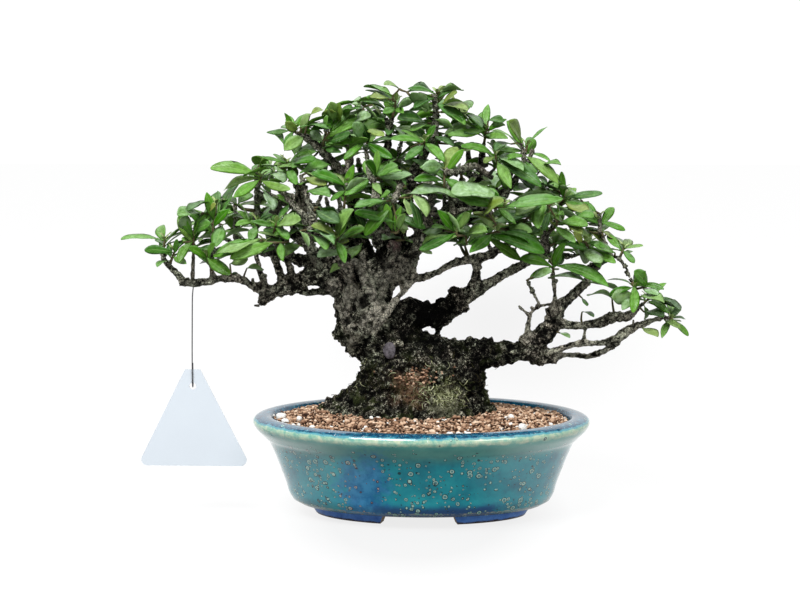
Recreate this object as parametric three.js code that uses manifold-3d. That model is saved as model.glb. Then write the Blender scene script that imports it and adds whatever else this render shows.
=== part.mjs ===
// A pyracantha bonsai in its oval glazed pot. Millimetres, +Z up, the front faces -Y.
import * as THREE from 'three';
import { mergeVertices } from 'three/addons/utils/BufferGeometryUtils.js';
import Module from 'manifold-3d';

// Driving dimensions
const POT_HALF_LENGTH = 110;
const POT_HALF_DEPTH = 77;
const AROUND = 40;
const FLOOR_TOP = 13.5;
const GAP = 0.3;
const DRAIN_X = 38;
const DRAIN_RADIUS = 9;
const SCREEN_SIDE = 26;
const SCREEN_THICK = 1.2;
const SOIL_EDGE = 62.4;
const SOIL_AT_TRUNK = 68.6;
const ROOT_BOTTOM = 50;
const ROOT_FLARE_TOP = 70.2;
const LEAF_WIDTH_SHARE = 0.37;
const LEAF_THICK = 1.15;
const SHOOT_RADIUS = 1.15;
const SHOOT_STEP = 3.2;
const LEAF_ROOM = 0.6;
const LISTED_TRIES = 11;
const SEEDED_TRIES = 16;
const OUTER_REACH = 0.45;

// Pot profile: inward offset from the widest outline, and height
const POT_PROFILE = [
  [30.2, 7.6], [25.6, 10.4], [23, 15], [20.3, 24], [11.7, 46], [7, 52], [2.2, 57], [0, 61.4],
  [1.5, 64.2], [5.5, 65.6], [10.4, 65.4], [12.6, 62.4], [19, 42], [27, 20], [33, FLOOR_TOP],
];
// Foot section: inward offset and height, with the angles it spans at its top and at the ground
const FOOT_SECTION = [[35, 9, 'top'], [40.5, 0, 'ground'], [50, 0, 'ground'], [47, 9, 'top']];
const FOOT_SPAN = { top: [18, 75], ground: [21, 72] };
const FOOT_STEPS = 6;

// Root ridges round the base: direction in degrees, and how far each stands out
const ROOT_RIDGES = [
  [178, 0.16], [212, 0.1], [246, 0.13], [278, 0.09], [312, 0.13], [352, 0.12],
  [38, 0.12], [78, 0.1], [116, 0.13], [148, 0.09],
];
const RIDGE_WIDTH = 0.2;
// Trunk sections: height, centre x and y, half widths in x and y, and how much the ridges show
const TRUNK_SECTIONS = [
  [ROOT_BOTTOM, -8, 0, 58, 37, 1], [ROOT_FLARE_TOP, -8, 0, 58, 37, 1], [75, -6, 0, 52.5, 33, 0.8],
  [80, -4, 1, 47.5, 30.5, 0.6], [87, -1, 2, 43, 28, 0.4], [94, 1, 2, 41, 26, 0.25],
  [99, 0, 3, 38.5, 25, 0.2], [105, -6, 3, 41, 24, 0.1], [111, -12, 3, 40, 23, 0], [117, -24, 3, 34, 22.5, 0],
  [123, -31, 3, 24, 21.5, 0], [130, -34, 3, 22, 20, 0], [138, -37, 3, 20, 19, 0],
  [146, -36, 3, 17.5, 16.5, 0], [154, -30, 3, 15, 13.5, 0], [162, -25, 4, 9.5, 9, 0],
];
const TRUNK_AROUND = AROUND / 2;

// Branches: the centre line as x, y, z and radius, from inside the older wood outwards
const BRANCHES = {
  left_limb: [
    [-45, 2, 151, 14], [-56, 0, 155, 11.5], [-67, -3, 157, 8.5], [-75, -5, 155, 6.5],
    [-83, -7, 150, 6], [-91, -9, 148, 5.5], [-99, -10, 145, 4.6],
  ],
  left_stub: [[-95, -9, 148, 4.5], [-101, -10, 143, 4.4], [-103, -10, 138, 2.8]],
  left_reach: [
    [-96, -9, 146, 4.6], [-108, -12, 151, 3.6], [-117, -14, 156, 3], [-128, -15, 156, 2.9],
    [-137, -15, 154, 3.2], [-146, -14, 153, 2.7], [-156, -12, 153, 2.8],
  ],
  left_end: [[-152, -12, 153, 2.6], [-158, -11, 159, 2.4], [-164, -10, 165, 2.1], [-167, -10, 170, 1.8]],
  under_strand: [[-51, 8, 146, 4], [-64, 8, 145, 2.9], [-75, 4, 145, 2.6], [-86, -5, 149, 3]],
  left_riser_a: [
    [-98, -10, 147, 3], [-103, -8, 157, 2.4], [-106, -4, 167, 2.1], [-108, -2, 180, 2.1],
    [-106, -4, 197, 2.2], [-105, -6, 209, 1.9], [-104, -8, 216, 1.5],
  ],
  left_riser_b: [
    [-88, -8, 150, 4.2], [-92, -5, 161, 3.2], [-97, 2, 172, 2.6], [-100, 6, 184, 2.2], [-97, 6, 196, 2],
  ],
  left_riser_c: [[-83, -7, 152, 3.6], [-85, -10, 166, 2.6], [-90, -14, 174, 2.2], [-94, -20, 183, 1.8]],
  left_arm: [
    [-49, -2, 158, 7], [-60, -6, 167, 4.6], [-68, -10, 173, 3.6], [-77, -12, 181, 3],
    [-86, -12, 185, 2.2],
  ],
  left_upright: [
    [-57, 2, 152, 6], [-66, 4, 162, 3.6], [-71, 5, 170, 3.1], [-75, 5, 178, 2.9], [-77.5, 4, 189, 2.8],
    [-79, 2, 202, 2.6], [-80, 0, 213, 2.4], [-83, -1, 223, 1.8],
  ],
  mid_limb: [
    [-21, 2, 130, 13], [-10, 4, 130.5, 10.6], [2, 4, 131.5, 9.6], [10, 4, 130, 7.8], [17, 3, 135, 7.8],
    [25, 2, 140.5, 6.8], [34, 0, 147, 4.8], [45, -2, 152, 3.2], [54, -3, 158, 2.9], [63, -4, 163, 3],
    [72, -6, 169, 2.8], [78, -6, 176, 2.6], [79, -6, 183, 2.1],
  ],
  mid_riser: [[34.5, 0, 147, 4.2], [35.5, -2, 157, 3.8], [36, -5, 167, 3.5]],
  up_right: [
    [-15, 4, 154, 5.5], [-6, -4, 155, 3.6], [3, -8, 157, 2.7], [11, -8, 160, 2.5], [17, -8, 163.5, 2.5],
    [22, -8, 166, 2.9], [31, -6, 168, 3], [37, -5, 169, 3.6], [45, -4, 171, 3.9], [51, -4, 175, 3.5],
    [59, -2, 180, 2.6], [65, -2, 186, 2],
  ],
  cut_branch: [
    [-27.5, -21, 127, 3], [-23.5, -21, 132, 3.3], [-19.5, -20, 137.5, 3.3], [-15, -18, 143.5, 3.1],
    [-11, -13, 149, 3], [-6, -7, 154, 3],
  ],
  low_limb: [
    [0, 0, 107, 13], [6, -1, 106, 11.8], [13, -2, 104, 10.4], [22, -3, 105, 10.4], [32, -4, 106, 10.2],
    [42, -4, 106, 10.2], [54, -5, 106, 7.8], [64, -6, 108.5, 7.8], [72, -7, 112, 8], [79, -8, 119, 7.5],
    [85, -8, 127, 7], [87, -8, 135, 5.8], [93, -8, 141, 4.3], [98, -9, 146, 3.8], [103, -9, 151, 3.8],
    [107, -10, 155, 3.4], [109, -10, 162, 2.4], [110, -10, 167, 1.9],
  ],
  low_reach: [
    [72, -6, 106, 7], [80, -7, 105, 5.6], [87, -8, 108.5, 3.5], [93, -9, 112, 2.3],
    [102, -11, 114.5, 2.2], [112, -13, 115, 2.2], [120, -14, 116, 2.7], [126, -14, 118.5, 3.6],
    [132, -14, 122.5, 4.2], [139, -14, 126.5, 3], [148, -14, 130, 2], [156, -14, 132, 1.5],
  ],
  low_lump: [[77, -6, 108, 6], [85, -6, 104, 4.4], [89, -6, 102, 2.4]],
  low_second: [
    [83, -8, 128, 5], [94, -6, 126, 3.2], [103, -4, 125, 3], [111, -3, 126, 3.4], [117, -3, 127.5, 4.4],
    [125, -4, 131, 4.4], [133, -5, 131.5, 3.6], [140, -7, 138, 2.4],
  ],
  low_under: [
    [85, -5, 105, 3.8], [93, -4, 106, 2.1], [100, -2, 105.5, 2], [108, -3, 105, 2], [115, -7, 108, 2.3],
    [121.5, -11, 111.5, 2.3], [127, -13, 116, 2.4],
  ],
  low_twig: [
    [69, -8, 115, 2.6], [70, -14, 132, 1.5], [75, -16, 138, 1.4], [81, -14, 140, 1.3], [88, -9, 139, 1.8],
  ],
  low_twig_side: [[71, -14, 131, 1.5], [67, -17, 136, 1.3], [63, -19, 139, 1.2]],
  low_twig_up: [[77, -16, 139, 1.4], [75, -18, 143, 1.2], [72, -20, 149, 1.2], [68, -22, 156, 1]],
  low_vertical: [[87, -9, 132, 2.2], [86, -14, 149, 1.8], [85, -15, 159, 1.4]],
  low_link: [[107, -4, 127, 1.6], [106, -8, 122, 1.3], [104, -12, 114, 1.6]],
  far_arch: [
    [109, -10, 158, 2.4], [116, -13, 167, 1.8], [124, -14, 171, 1.6], [130, -14, 166, 1.4],
    [134, -14, 157, 1.2],
  ],
  pale_loop: [
    [-45, -12, 169, 1.8], [-40, -15.5, 166.5, 2], [-38, -17, 159, 2.1], [-35, -16.5, 154, 2.2],
    [-30, -12, 151, 2.2],
  ],
  swirl: [
    [-38, -6, 173, 2.6], [-37.5, -10, 167, 2.9], [-35.5, -12.5, 160, 3], [-30, -13, 157, 3],
    [-24.5, -12, 160.5, 3], [-20.5, -9, 167, 3],
  ],
  crown_stub: [[-24, -2, 156, 7], [-19, -8, 164, 5.4], [-17, -10, 172, 5], [-16, -10, 180, 4.7]],
  leader_left: [
    [-33, 4, 156, 9], [-39, 6, 180, 6.2], [-43, 8, 199, 5], [-48, 8, 217, 4.4], [-57, 6, 229, 3.7],
    [-64, 4, 237, 3.1], [-72, 2, 245, 2.5], [-78, 1, 248, 1.8],
  ],
  leader_mid: [
    [-22, 6, 160, 8.5], [-16, 9, 182, 6.8], [-11, 10, 202, 5.4], [-5, 9, 222, 4.4], [3, 6, 238, 3.5],
    [8, 3, 250, 2.7], [9, 1, 257, 2],
  ],
  leader_top: [
    [-15, 9, 184, 5], [-22, 8, 208, 4], [-23, 5, 229, 3.1], [-21, 2, 244, 2.5], [-19, 0, 256, 1.8],
  ],
  leader_right: [
    [-17, 8, 163, 8], [0, 14, 180, 6.4], [15, 14, 194, 5.6], [28, 12, 204, 5], [36, 8, 219, 4.1],
    [39, 5, 231, 3], [40, 3, 240, 1.8],
  ],
  right_arm: [[20, 14, 197, 5], [37, 10, 202, 3.8], [51, 4, 209, 3], [60, -2, 218, 2.4], [65, -5, 229, 1.9]],
  upright: [[-6, -7, 158, 3.5], [-4, -10, 167, 3.3], [-3, -12, 176.5, 3], [-2, -13, 188, 2.3]],
  back_far_left: [[-56, 6, 156, 8], [-77, 24, 163, 4.8], [-99, 33, 167, 3.6], [-119, 38, 170, 2.6]],
  back_left: [
    [-39, 10, 156, 8], [-51, 29, 180, 5.6], [-66, 39, 193, 4.4], [-83, 47, 201, 3.3], [-96, 50, 207, 2.2],
  ],
  back_mid: [
    [-26, 10, 156, 8], [-23, 32, 183, 5.8], [-22, 44, 202, 4.5], [-18, 48, 224, 3.3],
    [-16, 47, 238, 2.2],
  ],
  back_right: [
    [-24, 12, 157, 7.5], [-6, 30, 174, 5.8], [19, 44, 187, 4.6], [43, 50, 190, 3.4], [58, 51, 190, 2.4],
  ],
  back_low_right: [
    [7, 10, 123, 7], [40, 27, 146, 4], [64, 36, 160, 3.1], [84, 42, 166, 2.7], [98, 45, 165, 2.2],
  ],
  back_low: [[-30, 14, 136, 8], [-33, 35, 148, 4.8], [-42, 47, 158, 3.5], [-50, 56, 166, 2.5]],
  front_left: [[-44, -2, 156, 7], [-52, -22, 175, 4.2], [-61, -34, 184, 3.2], [-68, -42, 189, 2.2]],
  front_mid: [[-28, -4, 158, 6.5], [-27, -22, 182, 4], [-28, -34, 198, 3.2], [-28, -39, 209, 2.2]],
  front_right: [[-18, -2, 156, 6], [3, -20, 182, 3.9], [15, -30, 194, 3.1], [26, -36, 202, 2.2]],
};

// Leafy shoots: name, the branch that carries it and where along it, the shoot's own points from the wood
// outwards, and its largest leaves as tip x, y, z and the tilt of the blade towards the front in degrees
const SPRAYS = [
  ['far_left', 'left_end', 1, [[-165, -10, 180]], [[-193, -14, 181, 14]]],
  ['left_low', 'left_end', 0.6, [[-158, -16, 173]],
    [[-176, -24, 175, 60], [-155, -22, 182, 70], [-148, -30, 167, 50]]],
  ['left_fold', 'left_reach', 0.85, [[-145, -18, 183]],
    [[-153, -26, 199, 75], [-153, -32, 168, 60], [-140, -12, 197, 50]]],
  ['left_double', 'left_reach', 0.62, [[-132, -20, 190], [-131, -12, 203]],
    [[-144, -22, 185, 60], [-119, -20, 199, 60], [-136, -20, 212, 50],
      [-120, -26, 202, 60], [-149, -16, 200, 40]]],
  ['left_drop', 'left_reach', 0.55, [[-136, -24, 171]],
    [[-119, -38, 161, 75], [-146, -34, 178, 60], [-128, -40, 181, 60]]],
  ['left_mid', 'left_riser_a', 0.45, [[-104, -16, 193]],
    [[-117, -26, 191, 50], [-93, -24, 198, 50], [-107, -32, 181, 65], [-117, -6, 199, 50]]],
  ['left_long', 'left_arm', 1, [[-84, -28, 181], [-98, -32, 181]],
    [[-130, -36, 172, 60], [-118, -44, 172, 65], [-85, -42, 170, 60]]],
  ['left_bright', 'left_riser_c', 1, [[-91, -26, 192]],
    [[-74, -34, 196, 65], [-105, -40, 195, 50], [-81, -44, 184, 50]]],
  ['left_top', 'left_riser_a', 1, [[-102, -12, 221]],
    [[-134, -16, 227, 55], [-127, -6, 212, 50], [-118, -26, 209, 60], [-82, -24, 214, 70]]],
  ['shoulder', 'left_upright', 1, [[-86, -6, 230]],
    [[-102, -14, 234, 35], [-66, 0, 237, 40], [-66, -20, 233, 45], [-78, -22, 217, 60]]],
  ['crown_left', 'leader_left', 1, [[-83, -2, 251]],
    [[-87, -8, 262, 55], [-100, 4, 249, 45], [-86, -18, 238, 65], [-71, 2, 261, 60]]],
  ['crown_left_two', 'leader_left', 0.66, [[-62, -6, 245], [-53, 0, 254]],
    [[-70, -12, 251, 60], [-59, 0, 268, 75], [-45, 4, 267, 55],
      [-35, -4, 259, 50], [-42, -16, 244, 75], [-50, -16, 237, 60]]],
  ['crown_front', 'leader_top', 0.6, [[-35, -12, 244]],
    [[-48, -22, 233, 55], [-17, -26, 234, 75], [-37, -18, 256, 60]]],
  ['centre_left', 'front_mid', 1, [[-29, -24, 224]],
    [[-47, -32, 211, 55], [-10, -28, 226, 45], [-26, -30, 239, 60], [-23, -40, 212, 60]]],
  ['centre_low_left', 'front_left', 0.35, [[-46, -26, 217]],
    [[-68, -30, 225, 60], [-55, -38, 208, 60], [-41, -30, 230, 60]]],
  ['centre_front', 'front_mid', 0.45, [[-12, -46, 190], [-16, -44, 208]],
    [[-33, -48, 187, 60], [5, -52, 192, 65], [-39, -52, 202, 50],
      [-7, -60, 202, 70], [-6, -50, 221, 50], [-23, -52, 221, 60]]],
  ['centre_pale', 'front_left', 0.45, [[-51, -38, 184]],
    [[-67, -46, 193, 45], [-39, -46, 203, 60], [-45, -52, 170, 65], [-32, -44, 191, 40]]],
  ['top_left', 'leader_top', 1, [[-16, -2, 269]],
    [[-36, 4, 276, 12], [-34, -14, 272, 35], [-23, -18, 262, 75], [-10, -18, 262, 75], [-25, 12, 278, 12]]],
  ['apex', 'leader_mid', 1, [[10, -1, 274]],
    [[-8, -9, 277, 40], [-4, -15, 265, 60], [26, -7, 277, 40],
      [28, -15, 257, 50], [27, 3, 266, 40], [-9, 5, 262, 50]]],
  ['crown_right', 'leader_right', 1, [[42, -2, 251]],
    [[18, -16, 248, 50], [55, -8, 258, 50], [43, 10, 267, 15], [30, -4, 262, 50], [56, -16, 246, 60]]],
  ['crown_mid', 'leader_mid', 0.6, [[3, -16, 244]],
    [[-18, -24, 246, 50], [16, -30, 232, 60], [-9, -30, 233, 60]]],
  ['mid_bright', 'front_right', 0.7, [[16, -28, 226]],
    [[1, -38, 229, 60], [28, -32, 240, 65], [27, -42, 214, 60], [-3, -36, 221, 50]]],
  ['right_top', 'right_arm', 0.6, [[48, -12, 235]],
    [[26, -18, 241, 50], [77, -24, 216, 60], [58, -28, 215, 75], [65, -18, 235, 45]]],
  ['right_stubs', 'right_arm', 1, [[68, -6, 241]],
    [[81, -4, 253, 14], [55, -2, 257, 60], [50, 4, 238, 45], [83, -8, 231, 22], [88, -18, 217, 50]]],
  ['right_long', 'front_right', 1, [[54, -44, 205]],
    [[22, -50, 214, 55], [90, -48, 210, 45], [47, -50, 219, 60], [61, -54, 195, 60]]],
  ['right_bright', 'mid_limb', 1, [[87, -22, 193], [80, -28, 207]],
    [[61, -40, 200, 65], [78, -42, 190, 75], [91, -42, 200, 60], [106, -38, 193, 50], [98, -38, 182, 60]]],
  ['right_out', 'mid_limb', 0.96, [[92, -6, 209]],
    [[116, -12, 211, 45], [90, -12, 225, 55], [108, -20, 199, 50]]],
  ['right_cluster', 'far_arch', 0.2, [[106, -16, 180]],
    [[117, -28, 178, 60], [124, -26, 168, 55], [114, -32, 166, 65], [92, -26, 180, 55]]],
  ['far_right_top', 'far_arch', 0.45, [[114, -2, 193]],
    [[131, -6, 187, 45], [99, 0, 198, 45], [104, 8, 204, 60]]],
  ['far_right_tip', 'far_arch', 0.6, [[130, -10, 176]],
    [[142, -14, 178, 35], [136, -24, 168, 50], [120, 0, 184, 50]]],
  ['far_right_low', 'far_arch', 1, [[137, -14, 150]],
    [[143, -22, 163, 75], [120, -24, 147, 65], [155, -22, 151, 45], [135, -30, 137, 75]]],
  ['far_right_end', 'low_second', 1, [[146, -8, 143]],
    [[167, -14, 138, 50], [158, -4, 153, 55], [158, -22, 136, 55]]],
  ['far_right_hang', 'low_reach', 1, [[161, -14, 131]], [[171, -20, 121, 50], [154, -24, 120, 60]]],
  ['long_arch', 'low_vertical', 1, [[85, -18, 166]],
    [[120, -30, 153, 45], [70, -22, 157, 60], [64, -26, 171, 55], [92, -28, 181, 70]]],
  ['right_low', 'up_right', 0.75, [[42, -24, 185], [49, -28, 188]],
    [[35, -34, 202, 60], [32, -42, 176, 70], [79, -34, 175, 45], [65, -22, 169, 55]]],
  ['centre_right', 'front_right', 0.55, [[24, -38, 188]],
    [[1, -48, 178, 55], [12, -46, 203, 60], [34, -46, 203, 65]]],
  ['back_far_left', 'back_far_left', 0.85, [[-142, 24, 184]], []],
  ['back_left_low', 'back_far_left', 1, [[-128, 45, 188]], []],
  ['back_left', 'back_left', 1, [[-106, 58, 220]], []],
  ['back_left_mid', 'back_left', 0.6, [[-66, 61, 216]], []],
  ['back_shoulder', 'leader_left', 0.6, [[-71, 35, 240]], []],
  ['back_crown_left', 'back_mid', 0.8, [[-42, 38, 250]], []],
  ['back_mid', 'back_mid', 0.55, [[-30, 69, 224]], []],
  ['back_crown', 'back_mid', 1, [[-12, 48, 252]], []],
  ['back_crown_right', 'leader_mid', 0.7, [[22, 33, 250]], []],
  ['back_centre', 'back_right', 0.55, [[18, 70, 204]], []],
  ['back_right_mid', 'back_right', 0.85, [[46, 67, 206]], []],
  ['back_right_top', 'leader_right', 0.6, [[52, 34, 230]], []],
  ['back_right', 'back_right', 1, [[82, 52, 194]], []],
  ['back_right_low', 'back_low_right', 0.8, [[88, 62, 172]], []],
  ['back_far_right', 'back_low_right', 1, [[108, 42, 168]], []],
  ['back_low', 'back_low', 1, [[-58, 69, 184]], []],
];
const FRONT_LEAVES = 5;
const BACK_LEAVES = 7;

// Hanging tag: a blank plastic triangle on a wire
const WIRE_ROUTE = [
  [-146.2, -15, 150.6], [-146.5, -17.2, 145], [-146.7, -17.6, 136], [-146.9, -17.4, 127],
  [-147.1, -17.2, 118], [-147.2, -17.5, 109], [-147.2, -18.1, 100], [-147.2, -18.3, 93],
  [-147.2, -18.1, 88.4], [-147.2, -17.7, 86.3], [-147.2, -17, 85.5], [-147.2, -16.3, 86.3],
  [-147.2, -15.9, 88.4], [-147.2, -15.7, 93], [-147.2, -15.8, 101],
];
const WIRE_RADIUS = 0.4;
const TAG_TOP = 97;
const TAG_BOTTOM = 33.5;
const TAG_CENTRE_X = -147.2;
const TAG_Y = -17;
const TAG_THICK = 0.8;
const TAG_HALF_TOP = 5;
const TAG_HALF_BOTTOM = 34.5;
const TAG_CORNER = 4;
const TAG_HOLE_Z = 86;
const TAG_HOLE_RADIUS = 2.2;

const wasm = await Module();
wasm.setup();

const vec = (p) => new THREE.Vector3(p[0], p[1], p[2]);
const lerp = (a, b, t) => a + (b - a) * t;
const radians = (degrees) => (degrees * Math.PI) / 180;

// A number from 0 to 1 that depends only on the two whole numbers
function draw(i, j) {
  let t = Math.imul(i + 1, 0x9e3779b1) ^ Math.imul(j + 1, 0x85ebca6b);
  t = Math.imul(t ^ (t >>> 15), 0x2c1b3c6d);
  t = Math.imul(t ^ (t >>> 12), 0x297a2d39);
  return ((t ^ (t >>> 15)) >>> 0) / 4294967296;
}

// Solids
function toManifold(points, triangles) {
  let volume = 0;
  for (const [a, b, c] of triangles) volume += vec(points[a]).dot(vec(points[b]).cross(vec(points[c])));
  const faces = volume > 0 ? triangles : triangles.map(([a, b, c]) => [a, c, b]);
  return new wasm.Manifold(new wasm.Mesh({
    numProp: 3,
    vertProperties: new Float32Array(points.flat()),
    triVerts: new Uint32Array(faces.flat()),
  }));
}

// Joins rings of equally many points, and closes both ends flat or, where a tip is given, on that point
function loft(rings, tip = null) {
  const n = rings[0].length;
  const points = rings.flat();
  const triangles = [];
  for (let r = 0; r + 1 < rings.length; r++) {
    for (let k = 0; k < n; k++) {
      const a = r * n + k;
      const b = r * n + ((k + 1) % n);
      triangles.push([a, b, b + n], [a, b + n, a + n]);
    }
  }
  for (let k = 1; k + 1 < n; k++) triangles.push([0, k + 1, k]);
  const last = (rings.length - 1) * n;
  if (tip) {
    points.push(tip);
    for (let k = 0; k < n; k++) triangles.push([last + k, last + ((k + 1) % n), points.length - 1]);
  } else {
    for (let k = 1; k + 1 < n; k++) triangles.push([last, last + k, last + k + 1]);
  }
  return toManifold(points, triangles);
}

function fromGeometry(geometry) {
  const bare = geometry.clone();
  bare.deleteAttribute('normal');
  bare.deleteAttribute('uv');
  const merged = mergeVertices(bare, 1e-4);
  return new wasm.Manifold(new wasm.Mesh({
    numProp: 3,
    vertProperties: new Float32Array(merged.attributes.position.array),
    triVerts: new Uint32Array(merged.index.array),
  }));
}

function joined(solids) {
  let level = solids;
  while (level.length > 1) {
    const next = [];
    for (let i = 0; i < level.length; i += 2) {
      next.push(i + 1 < level.length ? level[i].add(level[i + 1]) : level[i]);
    }
    level = next;
  }
  return level[0];
}

// Rings round rows of x, y, z and radius. Knots from 0 to 1 make the girth uneven.
function tubeRings(rows, sides, knots = 0, seed = 0) {
  const rings = [];
  const side = new THREE.Vector3(0.31, -0.77, 0.56);
  for (let i = 0; i < rows.length; i++) {
    const ahead = vec(rows[Math.min(i + 1, rows.length - 1)]);
    const along = ahead.sub(vec(rows[Math.max(i - 1, 0)])).normalize();
    side.addScaledVector(along, -side.dot(along)).normalize();
    const other = along.clone().cross(side);
    const ring = [];
    for (let k = 0; k < sides; k++) {
      const angle = (2 * Math.PI * k) / sides;
      const r = rows[i][3] * (1 + knots * (draw(seed + i * 31, k) - 0.5));
      ring.push(vec(rows[i]).addScaledVector(side, r * Math.cos(angle))
        .addScaledVector(other, r * Math.sin(angle)).toArray());
    }
    rings.push(ring);
  }
  return rings;
}

function tube(...shape) {
  return loft(tubeRings(...shape));
}

// Pot
function potOutline(angle, inset, z) {
  const nx = POT_HALF_DEPTH * Math.cos(angle);
  const ny = POT_HALF_LENGTH * Math.sin(angle);
  const norm = Math.hypot(nx, ny);
  return [
    POT_HALF_LENGTH * Math.cos(angle) - (inset * nx) / norm,
    POT_HALF_DEPTH * Math.sin(angle) - (inset * ny) / norm,
    z,
  ];
}

function potRing(inset, z) {
  return Array.from({ length: AROUND }, (_, k) => potOutline((2 * Math.PI * k) / AROUND, inset, z));
}

function makeFoot(mirrorX, mirrorY) {
  const rings = [];
  for (let s = 0; s <= FOOT_STEPS; s++) {
    rings.push(FOOT_SECTION.map(([inset, z, level]) => {
      const [from, to] = FOOT_SPAN[level];
      const [x, y] = potOutline(radians(lerp(from, to, s / FOOT_STEPS)), inset, z);
      return [x * mirrorX, y * mirrorY, z];
    }));
  }
  return loft(rings);
}

function makePot() {
  const body = loft(POT_PROFILE.map(([inset, z]) => potRing(inset, z)));
  const feet = [[1, 1], [1, -1], [-1, 1], [-1, -1]].map(([mx, my]) => makeFoot(mx, my));
  let pot = joined([body, ...feet]);
  for (const x of [-DRAIN_X, DRAIN_X]) {
    const drill = new THREE.CylinderGeometry(DRAIN_RADIUS, DRAIN_RADIUS, 30, 20);
    drill.rotateX(Math.PI / 2);
    drill.translate(x, 0, FLOOR_TOP - 4);
    pot = pot.subtract(fromGeometry(drill));
  }
  return pot;
}

// Drainage screens: a square of plastic grid over each hole
function block(width, height, x, y, z) {
  const box = new THREE.BoxGeometry(width, width, height);
  box.translate(x, y, z);
  return fromGeometry(box);
}

function makeScreen(x) {
  const z = FLOOR_TOP + GAP + SCREEN_THICK / 2;
  const cell = SCREEN_SIDE / 3;
  let screen = block(SCREEN_SIDE, SCREEN_THICK, x, 0, z);
  for (const i of [-0.5, 0.5]) {
    for (const j of [-0.5, 0.5]) {
      screen = screen.subtract(block(cell * 0.64, 4 * SCREEN_THICK, x + i * cell, j * cell, z));
    }
  }
  return screen;
}

// Trunk base: the same outline below the soil as at its surface, so that it stands in a plain hole
function ridges(angle) {
  let f = 0.9;
  for (const [degrees, height] of ROOT_RIDGES) {
    const away = Math.abs(((angle - radians(degrees) + 3 * Math.PI) % (2 * Math.PI)) - Math.PI);
    f += height * Math.exp(-((away / RIDGE_WIDTH) ** 2));
  }
  return f;
}

function trunkPoint([z, cx, cy, hx, hy, ridged], k) {
  const angle = (2 * Math.PI * k) / TRUNK_AROUND;
  const knobs = 0.05 * Math.sin(5 * angle + z / 7) + 0.035 * Math.sin(9 * angle - z / 5 + 1.3);
  const f = lerp(1, ridges(angle), ridged) + (ridged === 1 ? 0 : knobs);
  return [cx + hx * f * Math.cos(angle), cy + hy * f * Math.sin(angle), z];
}

// Soil: fills the pot, heaped a little towards the trunk, with pockets for the two screens
function holePoint(k, z) {
  const flare = TRUNK_SECTIONS[1];
  const a = trunkPoint(flare, Math.floor(k / 2));
  const b = trunkPoint(flare, Math.ceil(k / 2) % TRUNK_AROUND);
  const x = (a[0] + b[0]) / 2;
  const y = (a[1] + b[1]) / 2;
  const out = Math.hypot(x - flare[1], y - flare[2]);
  return [x + (1.6 * GAP * (x - flare[1])) / out, y + (1.6 * GAP * (y - flare[2])) / out, z];
}

function makeSoil() {
  const wall = POT_PROFILE.slice(-3).reverse();
  const rings = wall.map(([inset, z], i) => potRing(inset + 2 * GAP, i ? z : z + GAP));
  const edge = potRing(12.8 + 2 * GAP, SOIL_EDGE - 0.6);
  rings.push(edge);
  for (let step = 1; step <= 4; step++) {
    const t = step / 4;
    rings.push(edge.map(([x, y], k) => {
      const hole = holePoint(k, 0);
      const bump = step < 4 ? 1.1 * (draw(step, k) - 0.5) : 0;
      const z = lerp(SOIL_EDGE, SOIL_AT_TRUNK, Math.sin((t * Math.PI) / 2)) + bump;
      return [lerp(x, hole[0], t), lerp(y, hole[1], t), z];
    }));
  }
  rings.push(edge.map((_, k) => holePoint(k, ROOT_BOTTOM - GAP)));
  let soil = loft(rings);
  for (const x of [-DRAIN_X, DRAIN_X]) {
    const height = 2 * (SCREEN_THICK + 2 * GAP);
    soil = soil.subtract(block(SCREEN_SIDE + 2 * GAP, height, x, 0, FLOOR_TOP + GAP));
  }
  return soil;
}

// Wood
function branchPoint(rows, share) {
  const at = share * (rows.length - 1);
  const i = Math.min(Math.floor(at), rows.length - 2);
  return rows[i].map((value, axis) => lerp(value, rows[i + 1][axis], at - i));
}

// A shoot's line: wood from the branch, then the green shoot, on one curve through the shoot's first point
function shootLine([, branch, share, stem]) {
  const from = branchPoint(BRANCHES[branch], share);
  const to = stem[0];
  const away = vec(to).distanceTo(vec(from));
  const bend = [lerp(from[0], to[0], 0.55), lerp(from[1], to[1], 0.55), lerp(from[2], to[2], 0.35)];
  const curve = new THREE.QuadraticBezierCurve3(vec(from), vec(bend), vec(to));
  const split = Math.min(0.7, Math.max(1 - 10 / away, (from[3] + 1.5) / away));
  const woodRadius = Math.min(from[3], 1.9);
  const knots = away > 22 ? [0, 0.55, 1] : [0, 1];
  const wood = knots.map((u) => [...curve.getPoint(u * split).toArray(), lerp(woodRadius, 1.35, u)]);
  const start = curve.getPoint(split);
  const ahead = curve.getTangent(split);
  const green = [[...start.addScaledVector(ahead, 2.2 * GAP).toArray(), SHOOT_RADIUS]];
  stem.forEach((p) => green.push([...p, 0.9]));
  return { wood, green };
}

function makeWood(lines) {
  const ring = (section) => Array.from({ length: TRUNK_AROUND }, (_, k) => trunkPoint(section, k));
  const solids = [loft(TRUNK_SECTIONS.map(ring), [-24, 4, 168])];
  Object.values(BRANCHES).forEach((rows, i) => {
    const widest = Math.max(...rows.map((row) => row[3]));
    const sides = widest > 8.2 ? 7 : widest > 4.5 ? 6 : widest > 2.5 ? 5 : 4;
    solids.push(tube(rows, sides, widest > 2 ? 0.3 : 0.1, 100 * i));
  });
  lines.forEach(({ wood }) => solids.push(tube(wood, 3)));
  return solids;
}

// Leaves: share of the length, share of the full width there, and share of the full thickness
const LEAF_STATIONS = [[0.2, 0.2, 0.8], [0.56, 1, 1], [0.86, 0.66, 0.8]];

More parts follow.
